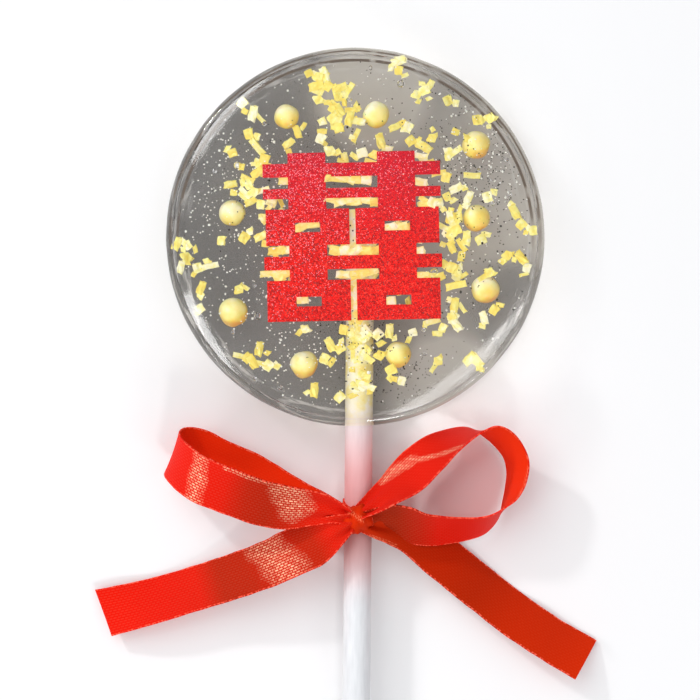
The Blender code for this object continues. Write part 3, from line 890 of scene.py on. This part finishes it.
def sugar_chips():
    draw = random.Random(21)
    places = [[] for _ in CHIPS]
    for x, y, turn, kind in PLACED_CHIPS:
        depth = draw.uniform(*CHIP_DEPTH)
        size = draw.uniform(*PLACED_SIZE)
        matrix = chip_place(draw, x * MM, y * MM, DISC_TOP - depth, turn, size)
        places[kind].append(matrix)
        if draw.random() < COMPANION_SHARE:
            angle = draw.uniform(0, 2 * math.pi)
            spot = Vector((
                x + COMPANION_GAP * math.cos(angle), y + COMPANION_GAP * math.sin(angle),
            )) * MM
            spot *= min(1.0, COMPANION_REACH / spot.length)
            matrix = chip_place(
                draw, spot.x, spot.y, DISC_TOP - depth - COMPANION_SINK,
                draw.uniform(0, 180), draw.uniform(*COMPANION_SIZE),
            )
            places[draw.randrange(len(CHIPS))].append(matrix)
    for x, y, half_width, half_height, low, high, count in CHIP_FIELDS:
        for _ in range(count):
            matrix = chip_place(
                draw,
                (x + draw.uniform(-half_width, half_width)) * MM,
                (y + draw.uniform(-half_height, half_height)) * MM,
                draw.uniform(low, high) * MM,
                draw.uniform(0, 180),
                draw.uniform(*FIELD_CHIP_SIZE),
            )
            places[draw.randrange(len(CHIPS))].append(matrix)
    for start, end, y in ORNAMENT_GAPS:
        count = max(1, round((end - start) / GAP_CHIP_STEP))
        for step in range(count):
            x = start + (end - start) * (step + 0.5) / count
            matrix = chip_place(
                draw, x * MM, (y + draw.uniform(-GAP_CHIP_DRIFT, GAP_CHIP_DRIFT)) * MM,
                GAP_CHIP_HEIGHT, draw.gauss(0, GAP_CHIP_TURN), draw.uniform(*GAP_CHIP_SIZE),
            )
            places[draw.choice((SQUARE, LONG, LONG, SLIVER))].append(matrix)
    heaps = [
        strewn(pattern.name + "s", pattern, spots) for pattern, spots in zip(CHIPS, places)
    ]
    pick(heaps[0])
    for heap in heaps[1:]:
        heap.select_set(True)
    bpy.ops.object.join()
    for pattern in CHIPS:
        bpy.data.objects.remove(pattern)
    heaps[0].name = "sugar_chips"
    heaps[0].data.name = "sugar_chips"
    return heaps[0]


def chip_sugar():
    material, tree, shader = new_material("yellow_sugar_crystal")
    place = output_of("Object", tree, "TexCoord")
    patch = output_of("Fac", tree, "TexNoise", Vector=place, Scale=1 / CHIP_CLOUD, Detail=3.0)
    tint = output_of("Fac", tree, "Attribute", {"attribute_name": "tint"})
    pale = output_of(0, tree, "Math", TIMES_PLUS, _0=tint, _1=0.5, _2=patch)
    yellows = ((0.5, "#F6DF66"), (0.72, "#F9EE88"), (0.88, "#FCF5AA"), (1.0, "#FFFBD8"))
    grain = output_of("Fac", tree, "TexNoise", Vector=place, Scale=1 / CHIP_GRAIN)
    rough = output_of("Normal", tree, "Bump", Height=grain, Strength=0.5, Distance=0.06 * MM)
    plug(tree, shader, Base_Color=ramp(tree, pale, *yellows), Roughness=0.3, Normal=rough)
    return material


chips = sugar_chips()
cast_in(chips, chip_sugar())
print("chips", len(chips.data.polygons), "faces")

# %% [markdown]
# ## Sugar dust and air bubbles
# Boiled candy holds crumbs of undissolved sugar and trapped air. The crumbs are white
# specks, crowded at the left. The smallest bubbles show as dark specks, mostly at the
# right, and a few large ones as clear beads with a bright ring. Each kind is a little
# ball, copied by a seeded rule inside named fields and joined.

# %% Strew the dust and the bubbles
# Middle x and y and spread in millimetres, then how many
DUST_FIELDS = (
    (-19.0, 10.0, 6.0, 340),
    (-10.0, -16.0, 7.0, 330),
    (-20.0, -6.0, 6.0, 150),
    (2.0, 20.0, 9.0, 130),
    (20.0, 12.0, 5.0, 260),
    (18.0, -6.0, 7.0, 120),
    (0.0, 0.0, 12.0, 140),
)
DARK_FIELDS = (
    (20.0, 10.0, 5.5, 380),
    (17.0, -2.0, 6.0, 200),
    (8.5, -22.0, 3.2, 120),
    (-1.0, 14.0, 8.0, 90),
    (-1.5, -14.0, 2.0, 70),
    (2.6, -15.0, 1.8, 70),
    (1.0, -20.0, 3.0, 50),
    (12.0, 18.0, 6.0, 120),
    (-18.0, 8.0, 7.0, 60),
)
BEAD_FIELDS = (
    (-18.0, -15.0, 5.0, 8),
    (18.0, 9.0, 6.0, 12),
    (10.0, -20.0, 8.0, 10),
    (4.0, 21.0, 8.0, 8),
    (-8.0, 8.0, 9.0, 6),
)
DUST_RADIUS = 0.145 * MM
SPECK_RADIUS = 0.12 * MM
BEAD_RADIUS = 0.42 * MM
BEAD_IOR = 1.9
RIM_CLEAR = 2.2 * MM
LOWEST_SPECK = 5.6 * MM
HIGHEST_SPECK = 7.6 * MM
SPECK_SIZE = (0.45, 1.0)
LARGEST_SPECK = 2.0
SPECK_STRETCH = (0.7, 1.2)


def scattered(name, fields, radius, rounds, seed):
    """Little balls strewn in fields, each of its own size, as one mesh."""
    bpy.ops.mesh.primitive_ico_sphere_add(subdivisions=rounds, radius=radius)
    pattern = bpy.context.object
    draw = random.Random(seed)
    places = []
    for x, y, spread, count in fields:
        for _ in range(count):
            spot = Vector((draw.gauss(x, spread), draw.gauss(y, spread), 0)) * MM
            size = min(draw.uniform(*SPECK_SIZE) + draw.expovariate(5.0), LARGEST_SPECK)
            if spot.length > DISC_RADIUS - RIM_CLEAR:
                continue
            spot.z = draw.uniform(LOWEST_SPECK, HIGHEST_SPECK)
            stretch = Matrix.Diagonal(
                (draw.uniform(*SPECK_STRETCH), draw.uniform(*SPECK_STRETCH), 0.8, 1.0)
            )
            places.append(Matrix.Translation(spot) @ Matrix.Scale(size, 4) @ stretch)
    specks = strewn(name, pattern, places)
    bpy.data.objects.remove(pattern)
    specks.data.shade_smooth()
    print(name, len(places))
    return specks


def bead_air():
    material, tree, shader = new_material("trapped_air_bead")
    plug(
        tree, shader, Base_Color=(1, 1, 1, 1), Roughness=0.02, IOR=BEAD_IOR, Transmission_Weight=1.0
    )
    return material


dust = scattered("sugar_dust", DUST_FIELDS, DUST_RADIUS, 1, 5)
cast_in(dust, plain("undissolved_white_sugar", "#FFFFFA", 0.6))
dark = scattered("small_bubbles", DARK_FIELDS, SPECK_RADIUS, 1, 6)
cast_in(dark, plain("small_dark_bubbles", "#26221C", 0.25))
beads = scattered("large_bubbles", BEAD_FIELDS, BEAD_RADIUS, 3, 7)
cast_in(beads, bead_air())

# %% [markdown]
# ## The ribbon
# The ribbon is 8 mm single-face satin: a tight red weave whose shown side has long,
# glossy floats, while its back is duller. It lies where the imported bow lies, so
# the stations of that bow are repeated here. A flat grid is bent along them, with pleats
# where it is gathered towards the knot, and a thin wall gives it two faces.

# %% Stations of the bow
RIBBON_WIDTH = 8.0 * MM
RIBBON_THICKNESS = 0.22 * MM
# Middle x, y and z in millimetres, heading and rise of the width line in degrees, and the
# share of the width that is left where the ribbon is gathered
LEFT_LOOP = (
    (-0.9, -44.3, 8.6, 74, 10, 0.30),
    (-3.4, -43.3, 8.9, 74, 16, 0.50),
    (-6.2, -42.9, 9.3, 76, 20, 0.74),
    (-10.8, -42.7, 10.2, 81, 24, 0.96),
    (-15.4, -41.7, 10.9, 80, 22, 1.00),
    (-20.5, -39.8, 11.1, 71, 22, 1.00),
    (-24.7, -38.1, 10.3, 68, 22, 1.00),
    (-27.7, -36.0, 8.7, 68, 25, 1.00),
    (-29.0, -34.4, 6.2, 69, 27, 1.00),
    (-27.9, -33.6, 3.6, 70, 27, 1.00),
    (-24.9, -34.1, 2.4, 71, 26, 1.00),
    (-20.8, -36.1, 2.3, 73, 26, 1.00),
    (-16.8, -37.8, 2.6, 75, 26, 1.00),
    (-13.4, -39.6, 3.2, 77, 24, 0.96),
    (-9.2, -41.6, 4.6, 77, 20, 0.80),
    (-5.4, -42.9, 6.2, 76, 16, 0.62),
    (-2.6, -43.8, 7.3, 74, 12, 0.42),
    (-0.9, -44.3, 7.8, 74, 8, 0.30),
)
RIGHT_LOOP = (
    (0.4, -44.0, 8.6, -50, 30, 0.30),
    (2.4, -42.6, 8.2, -48, 42, 0.55),
    (5.4, -40.3, 7.5, -50, 48, 0.85),
    (8.8, -37.4, 6.8, -56, 38, 1.00),
    (12.6, -34.1, 6.3, -54, 47, 1.00),
    (15.6, -32.2, 5.4, -52, 63, 1.00),
    (19.0, -30.8, 4.6, -20, 76, 1.00),
    (21.9, -31.2, 4.3, 58, 70, 1.00),
    (24.2, -32.9, 4.3, 50, 64, 1.00),
    (25.6, -35.5, 4.3, 14, 65, 1.00),
    (25.6, -38.4, 4.4, 0, 69, 1.00),
    (24.7, -41.4, 4.5, 20, 73, 1.00),
    (23.3, -43.7, 4.5, 66, 72, 1.00),
    (20.6, -45.7, 4.6, 86, 66, 1.00),
    (16.4, -46.4, 5.0, 94, 58, 1.00),
    (11.6, -46.4, 5.9, 88, 48, 1.00),
    (8.2, -45.5, 6.6, 88, 42, 1.00),
    (4.7, -44.8, 7.0, 86, 36, 0.80),
    (2.1, -44.6, 7.7, 82, 26, 0.48),
    (0.2, -44.6, 8.0, 80, 20, 0.30),
)
LEFT_TAIL = (
    (-0.6, -45.0, 8.9, 104, 4, 0.34),
    (-3.3, -46.5, 8.8, 114, 0, 0.66),
    (-6.5, -48.5, 7.9, 121, -14, 0.92),
    (-9.7, -49.9, 6.6, 120, -22, 1.00),
    (-15.1, -52.4, 4.8, 110, -27, 1.00),
    (-22.1, -54.9, 3.3, 108, -30, 1.00),
    (-31.4, -57.8, 2.5, 107, -30, 1.00),
    (-40.3, -60.0, 1.2, 111, -10, 1.00),
)
RIGHT_TAIL = (
    (0.2, -45.0, 7.6, 78, -6, 0.30),
    (3.5, -45.7, 6.7, 70, -12, 0.50),
    (6.6, -46.1, 4.9, 60, -22, 0.80),
    (9.8, -47.5, 3.4, 54, -29, 0.96),
    (13.3, -50.5, 2.5, 53, -30, 1.00),
    (17.7, -54.1, 2.3, 53, -31, 1.00),
    (22.3, -57.8, 2.3, 52, -31, 1.00),
    (26.7, -61.1, 2.3, 54, -31, 1.00),
    (32.1, -64.6, 2.3, 56, -31, 1.00),
    (36.9, -67.4, 2.2, 58, -30, 1.00),
)

# %% [markdown]
# The stations are joined by a smooth curve through them all. Each cross row of the grid
# goes to one place on it. The grid's UV map is set to metres along and across the
# ribbon, so that the weave keeps its size wherever the ribbon bends.

# %% Bend a grid into a ribbon
STEPS_BETWEEN = 9
CELLS_ACROSS = 24
EDGE_CURL = 0.18 * MM
EDGE_WAVER = 0.05
WAVER_LENGTH = 4 * MM
CALM_END = 7 * MM
PLEATS = 2.0
PLEAT_HEIGHT = 0.7 * MM
PLEAT_START = 0.6
EVEN_SHADING = ((0, 0.9),)
NO_WAVE = (0.0, 1.0, 0.0)


def station_vectors(station):
    """A station's middle and the vector from its middle to its edge, in metres."""
    x, y, z, heading, rise, share = station
    heading = math.radians(heading)
    rise = math.radians(rise)
    flat = Vector((math.cos(heading), math.sin(heading), 0)) * math.cos(rise)
    way = flat + Vector((0, 0, math.sin(rise)))
    return Vector((x, y, z)) * MM, way * share * RIBBON_WIDTH / 2


def smooth_between(before, start, end, after, share):
    """A point on the smooth curve from start to end, which also heeds their neighbours."""
    return 0.5 * (
        2 * start
        + (end - before) * share
        + (2 * before - 5 * start + 4 * end - after) * share ** 2
        + (3 * start - before - 3 * end + after) * share ** 3
    )


def resampled(values, steps):
    """The values with smooth in-between ones added."""
    padded = [2 * values[0] - values[1], *values, 2 * values[-1] - values[-2]]
    made = []
    for place in range(len(values) - 1):
        for step in range(steps):
            made.append(smooth_between(*padded[place:place + 4], step / steps))
    made.append(values[-1])
    return made


def nearness(line, along, across):
    """1 near a line drawn on the ribbon, and 0 beyond its reach."""
    begin = Vector(line[:2]) * MM
    run = Vector(line[2:4]) * MM - begin
    place = Vector((along, across))
    share = min(1.0, max(0.0, (place - begin).dot(run) / run.length_squared))
    gap = (place - begin - run * share).length / (line[4] * MM)
    return max(0.0, 1.0 - gap ** 2)


def bend_ribbon(
    name, middles, halves, pleats, height, wave=NO_WAVE, tones=EVEN_SHADING, glints=()
):
    """A strip of ribbon through the sections, with UVs in metres.

    The wave is its height, its length along the ribbon and where it starts, in metres.
    Each shading stop is a distance along in millimetres and how bright the satin is
    painted there, as painted light and shade. Each glint is a line from along and across
    to along and across, and its reach: there pale glints are painted on the satin.
    """
    rows = len(middles)
    bpy.ops.mesh.primitive_grid_add(
        x_subdivisions=CELLS_ACROSS, y_subdivisions=rows - 1, size=2.0
    )
    strip = bpy.context.object
    strip.name = name
    lengths = [0.0]
    for first, second in zip(middles, middles[1:]):
        lengths.append(lengths[-1] + (second - first).length)
    row_of = {}
    for vertex in strip.data.vertices:
        row = round((vertex.co.y + 1) / 2 * (rows - 1))
        row_of[vertex.index] = (row, vertex.co.x)
    uv = strip.data.uv_layers.active.data
    for loop in strip.data.loops:
        row, across = row_of[loop.vertex_index]
        uv[loop.index].uv = (lengths[row], (across + 1) * RIBBON_WIDTH / 2)
    tone = strip.data.attributes.new("tone", "FLOAT", "POINT").data
    glint = strip.data.attributes.new("glint", "FLOAT", "POINT").data
    shading_places, shading_values = zip(*tones)
    for vertex in strip.data.vertices:
        row, across = row_of[vertex.index]
        tone[vertex.index].value = np.interp(lengths[row] / MM, shading_places, shading_values)
        side = (across + 1) * RIBBON_WIDTH / 2
        glint[vertex.index].value = max(
            (nearness(line, lengths[row], side) for line in glints), default=0
        )
        way = middles[min(row + 1, rows - 1)] - middles[max(row - 1, 0)]
        face = halves[row].cross(way).normalized()
        gathered = 1.0 - halves[row].length / (RIBBON_WIDTH / 2)
        pleat = math.cos(pleats * math.pi * across + PLEAT_START) * height * gathered
        curl = EDGE_CURL * (across ** 2 - 0.4) * (1 - gathered)
        own_wave = Vector((lengths[row] / WAVER_LENGTH, round(across) * 5.0, len(name)))
        waver = noise.noise(own_wave) * EDGE_WAVER
        vertex.co = middles[row] + halves[row] * across * (1 - abs(waver)) + face * (pleat + curl)
        swell, length, start = wave
        calm = min(1.0, lengths[row] / CALM_END, (lengths[-1] - lengths[row]) / CALM_END)
        vertex.co.z += swell * calm * math.sin(2 * math.pi * (lengths[row] - start) / length)
    return strip


def thicken(strip):
    """Give the strip its two faces, the second with the next material slot."""
    wall = strip.modifiers.new("cloth", "SOLIDIFY")
    wall.thickness = RIBBON_THICKNESS
    wall.offset = 0.0
    wall.material_offset = 1
    smooth(finish_modifiers(strip), 50)


def band(name, stations, wave, tones, glints):
    """A ribbon strip that runs smoothly through its stations."""
    middles, halves = zip(*(station_vectors(station) for station in stations))
    middles = resampled(middles, STEPS_BETWEEN)
    halves = resampled(halves, STEPS_BETWEEN)
    return bend_ribbon(name, middles, halves, PLEATS, PLEAT_HEIGHT, wave, tones, glints)


# %% [markdown]
# ## Satin
# Satin's gloss comes from long yarns that float side by side, so light stretches across
# them and breaks into short bright dashes. The yarns of a real ribbon are 0.15 mm
# apart, too fine for this picture, so they are drawn three times as coarse. Each strip
# carries its painted shading, how bright or dark it is painted along its length, and its
# glints, the lines on it that catch a lamp, where the yarns turn glossy and are painted
# pale as painted highlights. The material reads both. Pale dots on the woven edges are
# painted glints too.

# %% Satin materials
FLOAT_LENGTH = 0.75 * MM
YARN_PITCH = 0.42 * MM
YARN_GAP = 0.13 * MM
SELVEDGE = 0.22 * MM
EDGE_DOT = 0.35 * MM
YARN_PATCH = 0.7 * MM
GLINT_CLOUD = 2.6 * MM
WEAVE_SHARE = 0.03
WEAVE_HEIGHT = 0.04 * MM


def satin_shine(tree, uv, yarn):
    """How much the yarns shine and are painted pale: in patches, only along the glints."""
    uneven = output_of("Fac", tree, "TexNoise", Vector=uv, Scale=1 / YARN_PATCH, Detail=2.0)
    patchy = output_of(0, tree, "MapRange", Value=uneven, _1=0.40, _2=0.62)
    shine = output_of(0, tree, "Math", TIMES_PLUS | {"use_clamp": True}, _0=patchy, _1=0.7, _2=0.3)
    glint = output_of("Fac", tree, "Attribute", {"attribute_name": "glint"})
    clouds = output_of("Fac", tree, "TexNoise", Vector=uv, Scale=1 / GLINT_CLOUD, Detail=3.0)
    ragged = output_of(0, tree, "Math", _0=glint, _1=clouds)
    ragged = output_of(0, tree, "MapRange", Value=ragged, _1=0.75, _2=1.5)
    for share in (ragged, yarn):
        shine = output_of(0, tree, "Math", TIMES, _0=shine, _1=share)
    return shine


def painted_edge_glints(tree, uv):
    """Where painted glints dot the woven edges."""
    middle = RIBBON_WIDTH / 2
    across = output_of("Y", tree, "SeparateXYZ", Vector=uv)
    inside = output_of(0, tree, "Math", WITHIN, _0=across, _1=middle, _2=middle - SELVEDGE)
    selvedge = output_of(0, tree, "Math", LESS, _0=1.0, _1=inside)
    fine = output_of("Fac", tree, "TexNoise", Vector=uv, Scale=1 / EDGE_DOT, Detail=1.0)
    bright = output_of(0, tree, "Math", {"operation": "GREATER_THAN"}, _0=fine, _1=0.52)
    return output_of(0, tree, "Math", TIMES, _0=selvedge, _1=bright)


def satin(name, low, high, edge, painted_glint_colour, dull, shiny, bump_strength, gloss):
    material, tree, shader = new_material(name)
    uv = output_of("UV", tree, "UVMap")
    gaps = output_of(
        "Fac", tree, "TexBrick", {"offset": 0.5, "offset_frequency": 2},
        Vector=uv, Scale=1.0, Mortar_Size=YARN_GAP, Mortar_Smooth=0.6,
        Brick_Width=FLOAT_LENGTH, Row_Height=YARN_PITCH,
    )
    yarn = output_of(0, tree, "Math", LESS, _0=1.0, _1=gaps)
    shining = satin_shine(tree, uv, yarn)
    # A faint pale weave everywhere, plus pale glints painted where the yarns shine
    grain = output_of(0, tree, "Math", TIMES_PLUS, _0=yarn, _1=WEAVE_SHARE, _2=shining)
    # Painted light and shade along each strip, from its listed stops
    tone = output_of("Fac", tree, "Attribute", {"attribute_name": "tone"})
    colour = ramp(tree, tone, (0.0, low), (1.0, high))
    for share, tint in ((grain, painted_glint_colour), (painted_edge_glints(tree, uv), edge)):
        colour = output_of(2, tree, "Mix", BLEND, _0=share, _6=colour, _7=linear(tint))
    rough = output_of(0, tree, "MapRange", Value=shining, _2=0.8, _3=dull, _4=shiny)
    weave = output_of(
        "Normal", tree, "Bump", {"invert": True},
        Height=gaps, Strength=bump_strength, Distance=WEAVE_HEIGHT,
    )
    plug(
        tree, shader, Base_Color=colour, Roughness=rough, Normal=weave,
        Specular_IOR_Level=gloss, Specular_Tint=linear("#FF5A38"),
    )
    return material


# Colours: darkest and brightest painted shading, painted edge glints, painted glints
satin_face = satin(
    "red_satin_face", "#A22002", "#E81002", "#FF6048", "#FFD0A8", 0.68, 0.2, 0.35, 0.6
)
satin_back = satin(
    "red_satin_back", "#B82604", "#F03008", "#FF6A50", "#FF8A60", 0.72, 0.5, 0.25, 0.2
)


def dress_ribbon(strip):
    """Put the glossy face on one side of a strip and the dull back on the other."""
    strip.data.materials.clear()
    for paint in (satin_face, satin_back):
        strip.data.materials.append(paint)
    thicken(strip)
    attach(strip, "root")
    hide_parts("ribbon_bow")


# Name, stations, wave, painted shading stops and glints of each strip
STRIPS = (
    (
        "ribbon_left_loop", LEFT_LOOP, (0.45 * MM, 20 * MM, 16 * MM),
        ((0, 0.85), (5, 0.8), (9, 0.5), (13.5, 0.22), (17, 0.35), (20.5, 0.85), (30, 1.0)),
        ((9.0, 4.4, 10.5, 7.2, 4.2), (24.6, 0.5, 25.8, 7.6, 2.1), (21.5, 7.6, 14.0, 7.8, 0.6)),
    ),
    (
        "ribbon_right_loop", RIGHT_LOOP, (0.3 * MM, 13 * MM, 0),
        ((0, 0.9), (22, 0.95), (41, 1.0), (52, 0.9), (55, 0.4), (59, 0.0)),
        ((6.8, 0.7, 12.0, 2.4, 1.5), (12.0, 2.4, 20.0, 7.4, 0.7),
         (33.5, 7.8, 38.0, 7.8, 0.6)),
    ),
    (
        "ribbon_left_tail", LEFT_TAIL, (0.45 * MM, 25 * MM, 12 * MM),
        ((0, 0.6), (4, 0.8), (7, 0.3), (9, 0.3), (13, 0.6), (19, 0.22), (24, 0.2),
         (27.5, 0.85), (34, 1.0)),
        ((12.9, 1.6, 14.9, 7.4, 4.7),),
    ),
    (
        "ribbon_right_tail", RIGHT_TAIL, (0.3 * MM, 16 * MM, 0),
        ((0, 0.2), (6, 0.1), (24, 0.06), (31, 0.3), (44, 0.55)),
        ((3.0, 0.3, 8.5, 0.3, 0.6),),
    ),
)
for strip in STRIPS:
    dress_ribbon(band(*strip))

# %% [markdown]
# ## Wrap and knot
# The ribbon runs once round behind the stick, and a gathered turn of it crosses the
# front as the knot. Both are strips like the others, with their sections worked out from
# circles: one round the stick, and one over the front of the bow. The knot is domed at
# its sides and creased by noise, as gathered satin is.

# %% Wrap the stick and tie the knot
WRAP_PLACE = 49.2 * MM
WRAP_HALF_WIDTH = 1.8 * MM
COLLAR_RISE = 0.7 * MM
WRAP_RADIUS = STICK_RADIUS + 0.15 * MM
WRAP_ROWS = 60
KNOT_MIDDLE = Vector((0.3, -44.7, 7.5)) * MM
KNOT_REACH = 1.9 * MM
KNOT_RISE = 1.8 * MM
KNOT_ROWS = 60
KNOT_HALF_WIDTH = 2.3 * MM
KNOT_DOME = 1.4 * MM
KNOT_TURN = math.radians(24)
KNOT_CREASE = 0.35 * MM
WRAP_START = math.radians(10)
WRAP_SWEEP = math.radians(340)
WRAP_PLEAT = 0.12 * MM
KNOT_START = math.radians(-30)
KNOT_SWEEP = math.radians(240)
KNOT_PINCH = 0.25


def stick_wrap():
    middles = []
    halves = []
    lie = stick_frame(WRAP_PLACE)
    for row in range(WRAP_ROWS + 1):
        angle = WRAP_START + WRAP_SWEEP * row / WRAP_ROWS
        behind = min(1.0, 1.0 - math.cos(angle))
        out = Vector((math.cos(angle), math.sin(angle), 0)) * WRAP_RADIUS
        middles.append(lie @ (out - Vector((0, 0, COLLAR_RISE * behind))))
        halves.append(lie.to_3x3() @ Vector((0, 0, WRAP_HALF_WIDTH + COLLAR_RISE * behind)))
    return bend_ribbon("ribbon_wrap", middles, halves, 1.5, WRAP_PLEAT)


def knot_turn():
    middles = []
    halves = []
    turn = Matrix.Rotation(KNOT_TURN, 3, "Z")
    for row in range(KNOT_ROWS + 1):
        angle = KNOT_START + KNOT_SWEEP * row / KNOT_ROWS
        arc = Vector((0, math.cos(angle) * KNOT_REACH, math.sin(angle) * KNOT_RISE))
        middles.append(KNOT_MIDDLE + turn @ arc)
        pinch = 1.0 - KNOT_PINCH + KNOT_PINCH * math.sin(angle)
        halves.append(turn @ Vector((KNOT_HALF_WIDTH * pinch, 0, 0)))
    # The knot is painted darker and lighter along its turn, with one painted glint
    knot = bend_ribbon(
        "ribbon_knot", middles, halves, 0, 0, tones=((0, 0.2), (3, 0.6), (5, 0.4), (8, 0.2)),
        glints=((2, 3, 4, 5, 0.9),),
    )
    for vertex in knot.data.vertices:
        crease = turn.inverted() @ (vertex.co - KNOT_MIDDLE)
        vertex.co.z -= KNOT_DOME * abs(crease.x / KNOT_HALF_WIDTH) ** 3
        lift = noise.noise(Vector((crease.x * 1.4, crease.y * 0.7, crease.z * 0.7)) / MM)
        vertex.co += (vertex.co - KNOT_MIDDLE).normalized() * lift * KNOT_CREASE
    return knot


dress_ribbon(stick_wrap())
dress_ribbon(knot_turn())

# %% [markdown]
# ## Table and light
# A plain pale table and soft light from all round keep the white surround of the
# photograph. A wide lamp at the upper left is the main light, and a small one on the same
# side gives the satin and the pearls their bright points. Low lamps at the sides light
# the rim.

# %% Set the table and the lamps
TABLE_SIZE = 4.0
TABLE_DROP = 0.2 * MM
MAIN_AIM = (0.0, -0.03, 0.0)
# Name, compass angle and tilt in degrees, distance, width, depth, share and aim
LAMPS = (
    ("wide_lamp", 138, 40, 0.9, 0.8, 0.8, 0.27, MAIN_AIM),
    ("glint_lamp", 137, 60, 0.7, 0.05, 0.05, 0.12, MAIN_AIM),
    ("left_lamp", -150, 59, 0.7, 0.30, 0.06, 0.07, MAIN_AIM),
    ("right_lamp", -58, 59, 0.7, 0.34, 0.06, 0.06, MAIN_AIM),
    ("near_lamp", -80, 50, 0.7, 0.10, 0.10, 0.10, MAIN_AIM),
    # Narrow strips high up, which the crowned candy mirrors as streaks along its rim
    ("right_strip", -50, 5.7, 0.7, 0.11, 0.011, 0.005, (0.020, 0.0, 0.0)),
    ("left_strip", -153, 6.2, 0.7, 0.06, 0.012, 0.006, (-0.020, -0.003, 0.0)),
    ("upper_strip", 140, 8.2, 0.7, 0.07, 0.012, 0.005, (0.0, 0.035, 0.0)),
)

bpy.ops.mesh.primitive_plane_add(size=TABLE_SIZE, location=(0, 0, -TABLE_DROP))
table = settle(bpy.context.object, "table")
table.data.materials.append(plain("matt_white_laminate", "#F6F6F6", 0.8))


def lamp(name, azimuth, tilt, distance, width, depth, share, aim):
    """A soft lamp aimed at a point, from a compass angle and a tilt off the vertical.

    The share is how much of a fully lit white table's light comes from this lamp.
    """
    azimuth = math.radians(azimuth)
    tilt = math.radians(tilt)
    sideways = math.sin(tilt)
    way = Vector((sideways * math.cos(azimuth), sideways * math.sin(azimuth), math.cos(tilt)))
    data = bpy.data.lights.new(name, "AREA")
    data.shape = "RECTANGLE"
    data.size = width
    data.size_y = depth
    data.energy = share * math.pi ** 2 * distance ** 2 / math.cos(tilt)
    made = bpy.data.objects.new(name, data)
    bpy.context.scene.collection.objects.link(made)
    made.location = Vector(aim) + way * distance
    made.rotation_mode = "QUATERNION"
    made.rotation_quaternion = way.to_track_quat("Z", "Y")


for settings in LAMPS:
    lamp(*settings)

# %% [markdown]
# The room gives the rest of the light. It is dimmer near the horizon, which darkens the
# rim of the candy and the sides of the pearls.

# %% Light the room
HORIZON = 0.02
OVERHEAD = 0.4
WALL_LIGHT = 0.1
CEILING_LIGHT = 0.56

world = bpy.data.worlds.new("soft_room")
world.use_nodes = True
room = world.node_tree
upwards = output_of("Generated", room, "TexCoord")
height = output_of("Z", room, "SeparateXYZ", Vector=upwards)
room_light = output_of(
    0, room, "MapRange", Value=height, _1=HORIZON, _2=OVERHEAD, _3=WALL_LIGHT, _4=CEILING_LIGHT
)
plug(room, room.nodes["Background"], Color=linear("#FAFBFF"), Strength=room_light)
bpy.context.scene.world = world
bpy.context.scene.view_settings.view_transform = "Standard"
